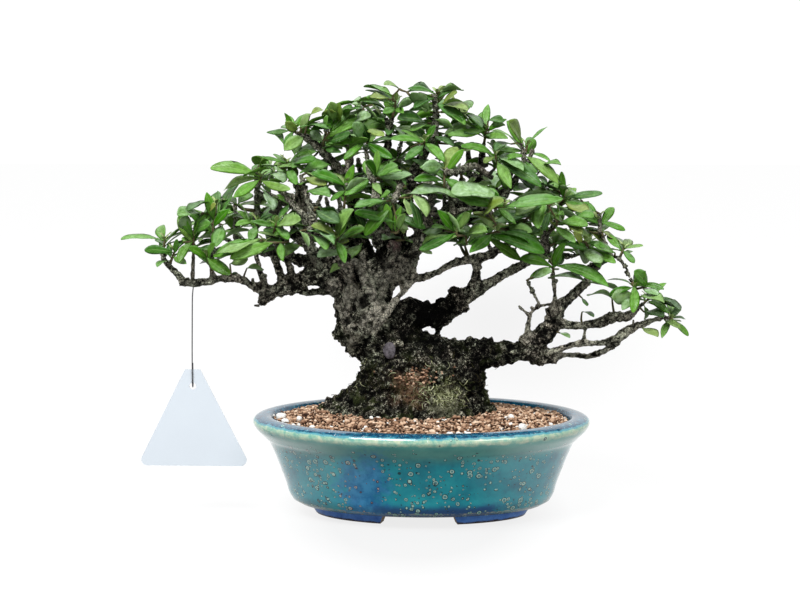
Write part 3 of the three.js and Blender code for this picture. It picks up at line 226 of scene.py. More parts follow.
# Leafy shoots, as in the part's source: name, branch, the share of it where the shoot starts,
# the stem's points and the leaves' tips with their tilt in degrees
SPRAYS = [
    ["far_left", "left_end", 1, [[-165, -10, 180]], [[-193, -14, 181, 14]]],
    ["left_low", "left_end", 0.6, [[-158, -16, 173]],
     [[-176, -24, 175, 60], [-155, -22, 182, 70], [-148, -30, 167, 50]]],
    ["left_fold", "left_reach", 0.85, [[-145, -18, 183]],
     [[-153, -26, 199, 75], [-153, -32, 168, 60], [-140, -12, 197, 50]]],
    ["left_double", "left_reach", 0.62, [[-132, -20, 190], [-131, -12, 203]],
     [[-144, -22, 185, 60], [-119, -20, 199, 60], [-136, -20, 212, 50],
        [-120, -26, 202, 60], [-149, -16, 200, 40]]],
    ["left_drop", "left_reach", 0.55, [[-136, -24, 171]],
     [[-119, -38, 161, 75], [-146, -34, 178, 60], [-128, -40, 181, 60]]],
    ["left_mid", "left_riser_a", 0.45, [[-104, -16, 193]],
     [[-117, -26, 191, 50], [-93, -24, 198, 50], [-107, -32, 181, 65], [-117, -6, 199, 50]]],
    ["left_long", "left_arm", 1, [[-84, -28, 181], [-98, -32, 181]],
     [[-130, -36, 172, 60], [-118, -44, 172, 65], [-85, -42, 170, 60]]],
    ["left_bright", "left_riser_c", 1, [[-91, -26, 192]],
     [[-74, -34, 196, 65], [-105, -40, 195, 50], [-81, -44, 184, 50]]],
    ["left_top", "left_riser_a", 1, [[-102, -12, 221]],
     [[-134, -16, 227, 55], [-127, -6, 212, 50], [-118, -26, 209, 60], [-82, -24, 214, 70]]],
    ["shoulder", "left_upright", 1, [[-86, -6, 230]],
     [[-102, -14, 234, 35], [-66, 0, 237, 40], [-66, -20, 233, 45], [-78, -22, 217, 60]]],
    ["crown_left", "leader_left", 1, [[-83, -2, 251]],
     [[-87, -8, 262, 55], [-100, 4, 249, 45], [-86, -18, 238, 65], [-71, 2, 261, 60]]],
    ["crown_left_two", "leader_left", 0.66, [[-62, -6, 245], [-53, 0, 254]],
     [[-70, -12, 251, 60], [-59, 0, 268, 75], [-45, 4, 267, 55],
        [-35, -4, 259, 50], [-42, -16, 244, 75], [-50, -16, 237, 60]]],
    ["crown_front", "leader_top", 0.6, [[-35, -12, 244]],
     [[-48, -22, 233, 55], [-17, -26, 234, 75], [-37, -18, 256, 60]]],
    ["centre_left", "front_mid", 1, [[-29, -24, 224]],
     [[-47, -32, 211, 55], [-10, -28, 226, 45], [-26, -30, 239, 60], [-23, -40, 212, 60]]],
    ["centre_low_left", "front_left", 0.35, [[-46, -26, 217]],
     [[-68, -30, 225, 60], [-55, -38, 208, 60], [-41, -30, 230, 60]]],
    ["centre_front", "front_mid", 0.45, [[-12, -46, 190], [-16, -44, 208]],
     [[-33, -48, 187, 60], [5, -52, 192, 65], [-39, -52, 202, 50],
        [-7, -60, 202, 70], [-6, -50, 221, 50], [-23, -52, 221, 60]]],
    ["centre_pale", "front_left", 0.45, [[-51, -38, 184]],
     [[-67, -46, 193, 45], [-39, -46, 203, 60], [-45, -52, 170, 65], [-32, -44, 191, 40]]],
    ["top_left", "leader_top", 1, [[-16, -2, 269]],
     [[-36, 4, 276, 12], [-34, -14, 272, 35], [-23, -18, 262, 75], [-10, -18, 262, 75], [-25, 12, 278, 12]]],
    ["apex", "leader_mid", 1, [[10, -1, 274]],
     [[-8, -9, 277, 40], [-4, -15, 265, 60], [26, -7, 277, 40],
        [28, -15, 257, 50], [27, 3, 266, 40], [-9, 5, 262, 50]]],
    ["crown_right", "leader_right", 1, [[42, -2, 251]],
     [[18, -16, 248, 50], [55, -8, 258, 50], [43, 10, 267, 15], [30, -4, 262, 50], [56, -16, 246, 60]]],
    ["crown_mid", "leader_mid", 0.6, [[3, -16, 244]],
     [[-18, -24, 246, 50], [16, -30, 232, 60], [-9, -30, 233, 60]]],
    ["mid_bright", "front_right", 0.7, [[16, -28, 226]],
     [[1, -38, 229, 60], [28, -32, 240, 65], [27, -42, 214, 60], [-3, -36, 221, 50]]],
    ["right_top", "right_arm", 0.6, [[48, -12, 235]],
     [[26, -18, 241, 50], [77, -24, 216, 60], [58, -28, 215, 75], [65, -18, 235, 45]]],
    ["right_stubs", "right_arm", 1, [[68, -6, 241]],
     [[81, -4, 253, 14], [55, -2, 257, 60], [50, 4, 238, 45], [83, -8, 231, 22], [88, -18, 217, 50]]],
    ["right_long", "front_right", 1, [[54, -44, 205]],
     [[22, -50, 214, 55], [90, -48, 210, 45], [47, -50, 219, 60], [61, -54, 195, 60]]],
    ["right_bright", "mid_limb", 1, [[87, -22, 193], [80, -28, 207]],
     [[61, -40, 200, 65], [78, -42, 190, 75], [91, -42, 200, 60], [106, -38, 193, 50], [98, -38, 182, 60]]],
    ["right_out", "mid_limb", 0.96, [[92, -6, 209]],
     [[116, -12, 211, 45], [90, -12, 225, 55], [108, -20, 199, 50]]],
    ["right_cluster", "far_arch", 0.2, [[106, -16, 180]],
     [[117, -28, 178, 60], [124, -26, 168, 55], [114, -32, 166, 65], [92, -26, 180, 55]]],
    ["far_right_top", "far_arch", 0.45, [[114, -2, 193]],
     [[131, -6, 187, 45], [99, 0, 198, 45], [104, 8, 204, 60]]],
    ["far_right_tip", "far_arch", 0.6, [[130, -10, 176]],
     [[142, -14, 178, 35], [136, -24, 168, 50], [120, 0, 184, 50]]],
    ["far_right_low", "far_arch", 1, [[137, -14, 150]],
     [[143, -22, 163, 75], [120, -24, 147, 65], [155, -22, 151, 45], [135, -30, 137, 75]]],
    ["far_right_end", "low_second", 1, [[146, -8, 143]],
     [[167, -14, 138, 50], [158, -4, 153, 55], [158, -22, 136, 55]]],
    ["far_right_hang", "low_reach", 1, [[161, -14, 131]], [[171, -20, 121, 50], [154, -24, 120, 60]]],
    ["long_arch", "low_vertical", 1, [[85, -18, 166]],
     [[120, -30, 153, 45], [70, -22, 157, 60], [64, -26, 171, 55], [92, -28, 181, 70]]],
    ["right_low", "up_right", 0.75, [[42, -24, 185], [49, -28, 188]],
     [[35, -34, 202, 60], [32, -42, 176, 70], [79, -34, 175, 45], [65, -22, 169, 55]]],
    ["centre_right", "front_right", 0.55, [[24, -38, 188]],
     [[1, -48, 178, 55], [12, -46, 203, 60], [34, -46, 203, 65]]],
    ["back_far_left", "back_far_left", 0.85, [[-142, 24, 184]], []],
    ["back_left_low", "back_far_left", 1, [[-128, 45, 188]], []],
    ["back_left", "back_left", 1, [[-106, 58, 220]], []],
    ["back_left_mid", "back_left", 0.6, [[-66, 61, 216]], []],
    ["back_shoulder", "leader_left", 0.6, [[-71, 35, 240]], []],
    ["back_crown_left", "back_mid", 0.8, [[-42, 38, 250]], []],
    ["back_mid", "back_mid", 0.55, [[-30, 69, 224]], []],
    ["back_crown", "back_mid", 1, [[-12, 48, 252]], []],
    ["back_crown_right", "leader_mid", 0.7, [[22, 33, 250]], []],
    ["back_centre", "back_right", 0.55, [[18, 70, 204]], []],
    ["back_right_mid", "back_right", 0.85, [[46, 67, 206]], []],
    ["back_right_top", "leader_right", 0.6, [[52, 34, 230]], []],
    ["back_right", "back_right", 1, [[82, 52, 194]], []],
    ["back_right_low", "back_low_right", 0.8, [[88, 62, 172]], []],
    ["back_far_right", "back_low_right", 1, [[108, 42, 168]], []],
    ["back_low", "back_low", 1, [[-58, 69, 184]], []],
]

# Leaves that the photograph shows, in its pixels: foot, tip, width (0 for the usual share) and look
PHOTO_LEAVES = {
    "crown_left": [
        (366, 142, 344, 160, 0, "bright"), (362, 141, 353, 123, 12, "gloss"),
        (348, 133, 330, 139, 0, "pale"), (345, 131, 332, 128, 0, "bright"),
        (333, 121, 330, 102, 13, "bright"), (340, 123, 340, 104, 10, "olive"),
        (353, 123, 371, 116, 0, "pale"), (364, 107, 378, 120, 4, "pale"), (373, 105, 380, 115, 4, "olive"),
        (391, 123, 391, 105, 17, "mid"), (388, 99, 370, 98, 0, "olive"), (393, 96, 364, 87, 4, "mid"),
        (399, 89, 384, 85, 4, "bright"), (407, 92, 433, 92, 11, "dark"), (430, 112, 411, 93, 14, "pale"),
        (416, 101, 399, 107, 0, "pale"), (427, 123, 397, 119, 11, "dark"), (427, 124, 411, 131, 0, "mid"),
        (393, 134, 407, 130, 0, "dark"), (388, 140, 440, 148, 10, "pale"), (419, 144, 440, 162, 10, "gloss"),
        (404, 142, 415, 146, 0, "pale"), (410, 148, 421, 156, 0, "dark"), (376, 177, 365, 162, 8, "dark"),
        (376, 176, 398, 166, 9, "mid"), (379, 178, 413, 175, 9, "gloss"), (382, 179, 400, 188, 7, "mid"),
        (406, 186, 402, 176, 5, "dark"), (401, 161, 422, 169, 8, "bright"),
        (443, 167, 421, 168, 14, "gloss"), (330, 177, 347, 187, 8, "bright"),
        (368, 178, 346, 189, 8, "pale"), (366, 129, 384, 136, 7, "olive"),
    ],
    "crown_right": [
        (445, 170, 457, 147, 15, "olive"), (480, 144, 464, 151, 0, "bright"),
        (477, 131, 444, 134, 11, "bright"), (435, 136, 453, 146, 8, "dark"), (435, 119, 453, 128, 7, "pale"),
        (441, 112, 465, 125, 8, "mid"), (441, 107, 467, 111, 7, "olive"), (440, 92, 462, 90, 7, "pale"),
        (442, 105, 457, 93, 6, "olive"), (453, 113, 472, 123, 4, "pale"), (465, 185, 475, 180, 4, "bright"),
        (480, 132, 464, 133, 6, "dark"), (488, 121, 504, 122, 0, "dark"), (489, 129, 504, 124, 0, "pale"),
        (521, 143, 508, 121, 10, "olive"), (511, 144, 495, 151, 0, "dark"), (542, 167, 561, 165, 4, "mid"),
        (497, 157, 523, 171, 9, "gloss"), (508, 164, 541, 190, 10, "bright"),
        (525, 162, 536, 173, 0, "dark"), (496, 174, 514, 188, 15, "mid"), (498, 169, 509, 174, 4, "pale"),
        (478, 177, 491, 185, 0, "bright"), (483, 136, 492, 137, 0, "mid"), (495, 157, 484, 163, 0, "olive"),
        (517, 176, 533, 189, 0, "dark"), (536, 176, 546, 185, 0, "dark"), (463, 113, 482, 128, 8, "dark"),
    ],
    "right": [
        (556, 190, 576, 194, 4, "pale"), (564, 201, 588, 213, 10, "olive"), (555, 203, 583, 226, 7, "pale"),
        (576, 217, 594, 217, 0, "mid"), (601, 231, 617, 241, 5, "olive"), (589, 231, 603, 245, 9, "olive"),
        (615, 253, 594, 246, 8, "mid"), (583, 248, 601, 263, 13, "pale"), (599, 264, 613, 259, 0, "dark"),
        (550, 259, 523, 262, 11, "bright"), (565, 254, 548, 262, 15, "dark"),
        (538, 203, 517, 215, 13, "bright"), (545, 202, 538, 229, 13, "mid"),
        (548, 213, 562, 221, 0, "bright"), (564, 198, 513, 201, 6, "pale"), (568, 224, 582, 234, 0, "olive"),
        (571, 231, 582, 246, 0, "olive"), (582, 241, 592, 239, 0, "bright"), (555, 243, 571, 246, 0, "mid"),
        (500, 232, 543, 253, 10, "dark"), (519, 258, 505, 249, 0, "pale"), (533, 277, 552, 272, 0, "pale"),
        (548, 278, 585, 281, 4, "pale"), (583, 282, 619, 290, 4, "pale"), (582, 298, 587, 306, 0, "dark"),
        (560, 333, 570, 338, 0, "pale"), (582, 312, 594, 317, 3, "dark"),
    ],
    "far_right": [
        (612, 298, 588, 296, 4, "pale"), (636, 294, 612, 298, 16, "pale"), (634, 298, 622, 310, 9, "pale"),
        (647, 287, 634, 271, 12, "mid"), (643, 289, 658, 295, 0, "gloss"), (638, 298, 664, 303, 8, "bright"),
        (659, 299, 680, 310, 5, "dark"), (647, 303, 668, 310, 0, "olive"), (644, 305, 644, 320, 0, "bright"),
        (644, 312, 664, 317, 0, "dark"), (664, 320, 680, 329, 0, "olive"), (642, 328, 658, 337, 8, "olive"),
    ],
    "upper_left": [
        (288, 181, 297, 186, 0, "bright"), (288, 163, 276, 169, 0, "olive"), (310, 159, 292, 168, 0, "mid"),
        (284, 144, 272, 132, 0, "mid"), (298, 130, 285, 122, 10, "olive"), (303, 137, 284, 150, 13, "bright"),
        (300, 131, 310, 114, 9, "bright"), (310, 115, 323, 110, 0, "olive"), (324, 131, 328, 116, 0, "mid"),
        (323, 142, 311, 131, 12, "pale"), (328, 141, 350, 134, 0, "dark"), (328, 131, 347, 126, 0, "bright"),
        (300, 173, 331, 165, 0, "mid"), (307, 173, 347, 186, 11, "bright"), (305, 178, 326, 185, 0, "olive"),
        (294, 192, 307, 207, 14, "pale"), (307, 192, 330, 197, 0, "mid"), (318, 207, 338, 222, 13, "dark"),
        (260, 188, 272, 210, 8, "pale"), (272, 197, 292, 206, 0, "mid"), (212, 203, 190, 210, 4, "dark"),
        (203, 213, 190, 217, 0, "pale"), (214, 222, 234, 213, 0, "pale"), (217, 213, 224, 203, 0, "pale"),
        (237, 225, 270, 216, 10, "mid"), (277, 226, 301, 220, 11, "bright"), (236, 210, 247, 221, 0, "pale"),
    ],
    "centre": [
        (386, 201, 354, 208, 8, "mid"), (354, 209, 338, 236, 10, "bright"), (354, 212, 362, 228, 0, "dark"),
        (368, 207, 383, 203, 0, "mid"), (384, 211, 406, 211, 14, "pale"), (380, 199, 390, 192, 0, "mid"),
        (404, 198, 410, 215, 0, "bright"), (410, 198, 419, 227, 9, "dark"),
        (413, 195, 426, 217, 0, "bright"), (401, 197, 457, 197, 8, "pale"),
        (505, 199, 451, 192, 13, "gloss"), (477, 183, 492, 184, 0, "bright"),
        (431, 208, 441, 201, 0, "pale"), (408, 238, 364, 235, 15, "pale"), (392, 226, 408, 228, 0, "bright"),
        (405, 240, 413, 243, 0, "bright"), (422, 232, 442, 231, 0, "pale"),
        (457, 236, 421, 250, 13, "bright"), (422, 252, 432, 254, 0, "bright"),
        (436, 213, 460, 232, 6, "pale"), (457, 231, 470, 214, 0, "bright"), (484, 216, 504, 201, 0, "olive"),
        (496, 224, 474, 212, 0, "olive"), (493, 227, 508, 225, 0, "olive"),
        (466, 236, 487, 231, 0, "bright"), (467, 245, 485, 244, 13, "dark"),
        (343, 236, 366, 230, 0, "olive"), (364, 243, 346, 264, 10, "bright"),
        (335, 246, 349, 241, 0, "olive"),
    ],
    "left": [
        (170, 261, 157, 267, 3, "mid"), (183, 242, 196, 246, 10, "olive"), (198, 249, 212, 250, 0, "dark"),
        (230, 264, 248, 259, 11, "bright"), (230, 275, 238, 274, 5, "dark"),
        (260, 239, 213, 255, 9, "bright"), (260, 242, 230, 259, 8, "mid"), (192, 232, 211, 223, 0, "mid"),
        (211, 223, 233, 214, 8, "pale"), (223, 225, 216, 247, 14, "mid"), (201, 214, 177, 215, 9, "gloss"),
        (193, 231, 182, 217, 14, "pale"), (214, 203, 188, 211, 4, "dark"), (208, 213, 216, 204, 0, "olive"),
        (236, 225, 257, 220, 0, "mid"), (253, 231, 223, 240, 4, "pale"), (247, 268, 263, 269, 0, "pale"),
        (252, 227, 273, 221, 0, "mid"), (292, 219, 301, 230, 0, "pale"), (339, 237, 311, 226, 9, "olive"),
        (337, 237, 354, 210, 0, "bright"), (271, 235, 286, 232, 0, "mid"), (288, 235, 300, 230, 0, "mid"),
        (300, 231, 309, 246, 0, "pale"), (308, 231, 334, 245, 7, "gloss"), (311, 235, 326, 250, 0, "mid"),
        (302, 246, 282, 256, 10, "bright"), (298, 246, 262, 247, 6, "mid"), (262, 248, 225, 252, 6, "mid"),
        (316, 210, 339, 223, 13, "dark"), (348, 247, 317, 257, 0, "pale"), (346, 267, 330, 272, 0, "bright"),
    ],
}
# How each look is coloured: tone from dark to light, share of olive and share of pale sheen, a painted sheen
# that on the pale look also stands for a pale underside's own colour
LEAF_LOOKS = {
    "dark": (0.12, 0.1, 0.0), "mid": (0.42, 0.1, 0.1), "bright": (0.74, 0.15, 0.1), "olive": (0.6, 0.85, 0.0),
    "pale": (0.5, 0.2, 0.75), "gloss": (0.5, 0.0, 0.55),
}

# How fine the visible pieces are: in metres, points round, steps and millimetres
WOOD_VOXEL = 0.00115
TRUNK_AROUND = 72
TRUNK_STEP = 2
WOOD_STEP = 1.6
STEM_STEP = 2.2
POT_AROUND = 180
FOOT_STEPS = 24
SOIL_AROUND = 96
GRAIN_SPACING = 2.15

# The wood: its top, what counts as a thick branch, the trunk's own thickness and the sizes in its relief
TRUNK_TIP = (-24, 4, 168)
THICK_BRANCH = 5
TRUNK_THICK = 12.0
BROAD_SIZE = 15
KNOB_SIZE = 4.4
THIN_KNOB_SIZE = 2.8
PIT_SIZE = 4.2
# Lumps on the wood: x, y, z and radius, and the heights of the rings that one is made of, in radii
LUMPS = [
    [22, -1, 146, 5], [13, 2, 138, 5], [33, -2, 150, 4], [27, -6, 136, 5], [45, -4, 112, 5], [56, -5, 111, 5],
    [33, -6, 113, 6], [67, -8, 115, 5], [-16, -17, 112, 8], [-28, -12, 100, 10], [-18, -20, 92, 10],
    [14, -19, 93, 10], [32, -15, 90, 8], [-44, -8, 145, 8], [-33, -14, 148, 7], [-46, -2, 136, 8],
    [-40, -16, 124, 7], [-12, -16, 102, 8], [34, -8, 96, 7], [-34, -16, 136, 7],
]
LUMP_ROWS = (-0.98, -0.8, -0.4, 0, 0.4, 0.8, 0.98)
# Hollows in the wood: place, reach and depth; the bark's colour is also painted dark in them, as shade
HOLLOWS = [
    ((-27.6, -15, 172), 9, 7), ((-15, -14, 147), 4, 3), ((-7, -18, 121), 7, 3), ((28, -10, 126), 9, 3),
    ((-37, -20, 141), 5, 2.5), ((-48, -16, 128), 5, 2), ((-24, -22, 118), 5, 2), ((6, -22, 110), 5, 2),
]
# Where the bark is paler or darker: place, reach and shift. The pale zones are the bark's own colour; the
# dark ones are painted shade under the limbs and make the trunk's foot darker.
BARK_ZONES = [
    ((-38, -18, 150), 28, 0.10), ((-30, -16, 128), 16, 0.06), ((-62, -5, 157), 16, 0.05),
    ((30, 0, 143), 14, 0.03), ((54, -2, 158), 22, 0.07), ((75, -8, 112), 14, 0.03), ((88, -8, 135), 16, 0.04),
    ((4, -8, 131), 26, -0.30), ((10, -12, 118), 18, -0.12), ((45, -8, 104), 26, -0.10),
    ((36, -14, 88), 18, -0.08), ((-40, -15, 84), 22, -0.08),
]
# Patches on the bark: place, reach, strength and the two colours that mix in them
BARK_PATCHES = [
    ((18, -28, 79), 16, 0.6, ((0.03, 0.035, 0.015), (0.55, 0.55, 0.36))),
    ((-6, -30, 88), 17, 0.6, ((0.04, 0.02, 0.014), (0.50, 0.29, 0.17))),
    ((-16, -11, 182), 8, 0.9, ((0.05, 0.025, 0.025), (0.30, 0.19, 0.18))),
]
# The heights between which the moss on the bark fades out downwards from none to all
MOSS_FADE = (130, 80)
# Branches whose bark is pale, and how pale
PALE_BRANCHES = {
    "pale_loop": 1.0, "swirl": 0.7, "cut_branch": 1.0, "crown_stub": 0.6, "up_right": 0.35, "mid_riser": 0.5,
    "low_twig": 0.6, "low_twig_side": 0.6, "low_twig_up": 0.6, "low_second": 0.3, "low_under": 0.5,
    "low_reach": 0.3, "left_reach": 0.3, "upright": 0.5, "left_limb": 0.2, "mid_limb": 0.25,
}
# Strands over the upper trunk: their pixels in the photograph, half width in mm and how pale they are
STRANDS = [
    (((333, 284), (336, 296), (341, 308), (345, 320), (352, 330)), 2.3, 0.7),
    (((347, 287), (346, 297), (347, 307)), 1.4, 0.9),
    (((352, 285), (357, 293), (360, 303), (363, 313)), 1.8, 0.5),
    (((371, 288), (374, 298), (377, 308), (374, 317)), 2.0, 0.9),
    (((386, 281), (382, 292), (380, 303), (384, 311)), 1.9, 0.7),
    (((376, 283), (385, 280), (394, 278), (402, 273), (407, 267)), 2.0, 0.8),
    (((362, 323), (369, 318), (376, 312), (384, 306)), 2.2, 0.9),
    (((337, 320), (345, 326), (353, 331), (362, 333)), 2.2, 0.4),
    (((349, 346), (356, 339), (365, 332), (372, 329)), 1.8, 0.6),
    (((341, 262), (347, 272), (350, 282), (352, 292)), 2.0, 0.3),
    (((402, 262), (404, 272), (399, 280), (394, 287)), 1.8, 0.7),
    (((362, 268), (366, 276), (373, 281)), 1.8, 0.4),
    (((384, 258), (389, 268), (390, 277)), 2.0, 0.8),
]
# How far a strand's middle stands out of the trunk, in its half widths, and how far its points may be from
# their usual depth
STRAND_PROUD = 0.15
STRAND_KEEP = 12
# Litter and pale moss on the trunk's front: the pixels' left, top, right and bottom, and how many there are
LITTER = (386, 366, 446, 388)
LITTER_COUNT = 90
MOSS = (420, 383, 468, 404)
MOSS_COUNT = 260
# Loose fibres all round the trunk: how many, between which heights, and from how far off they are aimed at it
LOOSE_FIBRES = 420
LOOSE_HEIGHTS = (72, 104)
OUTSIDE = 150
# The cut end of the middle strand: its middle, its radius and its rim's
CUT_RING = (-27.3, -22.6, 126.8, 2.0, 0.75)
# The old grey scar: its pixel, half width and half height in mm, its rings' heights and its depth's share
SCAR = (389.5, 350.5, 4.0, 5.4)
SCAR_ROWS = (-0.99, -0.9, -0.7, -0.4, 0, 0.4, 0.7, 0.9, 0.99)
SCAR_FLATNESS = 0.24

# Twigs: the green part of a shoot's stem, the radius that they count as in the bark, and the pruned spurs, on
# branches up to a radius and from a height, at a share of their points. At that radius the bark paints twigs
# lighter, as light on twigs in the leaves' shade
GREEN_LENGTH = 10
TWIG_THICK = 1.5
SPUR_BRANCH = 5.5
SPURS_FROM = 112
SPUR_SHARE = 0.2
# Twigs that show between the leaves: half width in mm, and their pixels from the foot up
INNER_TWIGS = [
    (2.0, (258, 218), (257, 192), (256, 168)), (2.0, (314, 224), (308, 200), (301, 176)),
    (1.8, (311, 221), (296, 208), (282, 192)), (1.6, (279, 212), (268, 196)), (1.8, (236, 240), (235, 204)),
    (1.6, (212, 249), (212, 233)), (1.6, (378, 200), (374, 182)), (1.8, (349, 182), (347, 162)),
    (1.8, (390, 138), (386, 118)), (2.3, (433, 140), (436, 118), (434, 94)),
    (2.3, (345, 175), (330, 160), (316, 146), (298, 133)), (2.2, (316, 262), (300, 238), (276, 200)),
    (2.2, (321, 271), (314, 252), (306, 228), (304, 214)), (2.0, (410, 272), (418, 250), (416, 224)),
    (1.7, (388, 232), (386, 212)), (1.6, (342, 216), (338, 194)), (1.8, (370, 178), (366, 150)),
    (1.8, (470, 176), (468, 146)), (1.7, (506, 196), (512, 172)), (1.8, (452, 210), (448, 182)),
    (2.4, (338, 180), (350, 162), (346, 142)), (2.0, (360, 180), (358, 158)),
    (3.2, (424, 216), (432, 196), (424, 174)), (2.3, (446, 208), (458, 194), (462, 180)),
    (1.8, (330, 214), (326, 198)), (2.0, (303, 222), (305, 202), (298, 184)),
    (1.8, (520, 172), (524, 158), (521, 143)), (1.5, (526, 166), (533, 149)),
    (2.2, (456, 172), (474, 166), (492, 178)), (1.8, (512, 232), (518, 212)), (1.8, (548, 250), (544, 228)),
    (2.3, (268, 196), (286, 204), (304, 212)), (2.0, (368, 232), (374, 214)), (1.5, (600, 232), (600, 214)),
    (2.0, (396, 196), (404, 176)), (2.2, (434, 212), (420, 198), (404, 192)), (1.8, (488, 214), (480, 196)),
    (2.0, (290, 250), (280, 232)),
]
# How far such a twig leans forwards and backwards from one of its points to the next
TWIG_LEAN = (-4, 14)

# Small shoots inside the crown: how many in each half, their leaves and tone, the pixels and depths of their
# ends, and how long their twigs may be
INNER_SHOOTS = 42
INNER_LEAVES = 6
INNER_TONE = 0.42
INNER_ACROSS = (150, 650)
INNER_DOWN = (90, 300)
INNER_DEPTHS = (-12, 34)
INNER_TWIG_LENGTHS = (5, 36)
# The crown's outline in the photograph's pixels, within which the inner shoots stay
CROWN_OUTLINE = [
    (152, 246), (180, 216), (206, 194), (236, 180), (262, 158), (290, 136), (318, 112), (352, 100), (400, 92),
    (437, 94), (480, 106), (515, 130), (545, 150), (566, 180), (592, 204), (606, 226), (604, 250), (560, 250),
    (500, 248), (440, 248), (410, 240), (350, 250), (310, 256), (240, 262), (190, 258),
]

# Leaves: a blade's outline from stalk to tip, as shares of its length and of its half width, and the share of
# leaves that are rounded
ROUNDED_LEAF = [
    (0.0, 0.07), (0.06, 0.08), (0.12, 0.2), (0.22, 0.47), (0.36, 0.76), (0.5, 0.94),
    (0.63, 1.0), (0.75, 0.95), (0.85, 0.8), (0.925, 0.58), (0.975, 0.34), (0.995, 0.15),
]
POINTED_LEAF = [
    (0.0, 0.07), (0.06, 0.08), (0.12, 0.18), (0.2, 0.42), (0.32, 0.75), (0.46, 0.97),
    (0.58, 1.0), (0.7, 0.93), (0.81, 0.74), (0.9, 0.48), (0.96, 0.25), (0.99, 0.1),
]
ROUNDED_SHARE = 0.58
# A blade's section: shares of the half width, and which side of the blade the point is on
ACROSS = [(-1, 0), (-0.52, 1), (0, 1), (0.52, 1), (1, 0), (0.52, -1), (0, -1), (-0.52, -1)]
TOP_SIDES = (0, 1, 2, 3)
# Half the thickness of the stalk and the blade, and the share of the length at which the stalk ends
STALK_THICK = 0.4
BLADE_THICK = 0.16
STALK_END = 0.12
# The leaves' materials
LEAF_TOP = 0
LEAF_UNDER = 1
STEM = 2
# Width share and tone of the leaves that the part lists
LISTED_LOOK = (0.30, 0.35)
# Leaves that are shorter than in the part: shoot, rank and share of the length
SHORTER = {
    ("centre_front", 4): 0.5, ("centre_front", 5): 0.55, ("centre_pale", 1): 0.6, ("right_long", 2): 0.7,
}
# A shoot's leaves, in front and behind: how many, how many of them are large, then their width share and tone
FRONT_SEEDED = (8, 6, (0.40, 0.38))
BACK_SEEDED = (14, 8, (0.40, 0.44))
# Large and small seeded leaves: their lengths and how far they stay from the others
LARGE_LEAF = ((19, 29), 5.4)
SMALL_LEAF = ((10, 19), 4.2)
NEW_LEAF = 4.5
SEED_ATTEMPTS = 14
GOLDEN_ANGLE = math.radians(137.5)
# How far seeded leaves reach on the tree's outer side, against its inner side
OUTER_REACH = 0.45
# How much the wood in front is preferred when a leaf's foot is put on the wood that the camera sees
FRONT_PULL = 0.1
# Turns drawn at random go from 0 to this
FULL_TURN = 6.283

# The pot: the height down to which its inside is glazed, a loft's two end faces, and the drain holes' drill
GLAZED_INSIDE_FROM = 58
CAPS = 2
DRAIN_AROUND = 48
DRILL_LENGTH = 30
DRILL_MIDDLE = 10
# The soil: how far its edge and its grains stay inside the pot's oval, and its sides from the floor up
SOIL_INSET = 13
GRAINS_INSET = 14.4
SOIL_WALL = [(33, 14.2), (27, 20), (19, 42), (12.8, SOIL_EDGE - 0.6)]
# Grains: a flat one's axes, the pumice's tone and where it starts, and how much darker their undersides are
# painted, as shade
FLAT_GRAIN = np.array([1.2, 0.9, 0.8])
WHITE_TONE = 1.5
WHITE_FROM = 1.3
UNDERSIDE_PAINTED_SHADE = 0.42
# White pumice that shows: its pixel in the photograph and its half size
PUMICE = [
    (449.6, 428.6, 3.0), (468.8, 430.3, 3.2), (299, 420.4, 2.2), (281, 419, 2.8), (285, 423.6, 2.4),
    (371.8, 419.4, 1.8), (392.9, 430.3, 2.4), (365.6, 423.6, 1.3), (511, 418.7, 2.2), (510.6, 423.6, 1.4),
    (522.3, 429.4, 2.8), (550.9, 426.1, 1.7), (478.8, 426.9, 1.3), (273.5, 417, 1.5), (293, 427, 1.6),
    (410, 431, 1.5),
]

# The wire's line, as in the part's source
WIRE_ROUTE = [
    [-146.2, -15, 150.6], [-146.5, -17.2, 145], [-146.7, -17.6, 136], [-146.9, -17.4, 127],
    [-147.1, -17.2, 118], [-147.2, -17.5, 109], [-147.2, -18.1, 100], [-147.2, -18.3, 93],
    [-147.2, -18.1, 88.4], [-147.2, -17.7, 86.3], [-147.2, -17, 85.5], [-147.2, -16.3, 86.3],
    [-147.2, -15.9, 88.4], [-147.2, -15.7, 93], [-147.2, -15.8, 101],
]
WIRE_RADIUS = 0.4

# Heights on the pot between which its glaze turns lighter, cream, blue at the rim and dark on the lip
GLAZE_UPPER = (43, 54)
GLAZE_CREAM = (58, 60)
GLAZE_RIM = (62.6, 63.4)
GLAZE_LIP = (63.7, 64.4)
# The glaze's crystals: cells in a metre and how many of them hold one
CRYSTALS = [(185, 0.40), (280, 0.42), (430, 0.30)]
# A leaf's two sides: roughness, shine, the relief's way, and what is tinted how much and in which colour
LEAF_SIDES = {
    "leaf_top": (0.27, 0.16, 0.5, [("rib", 0.32, (0.24, 0.38, 0.12)), ("veins", 0.10, (0.16, 0.30, 0.06))]),
    "leaf_under": (0.5, 0.04, -0.5, [("all", 0.32, (0.12, 0.20, 0.045)), ("rib", 0.4, (0.22, 0.33, 0.10))]),
}
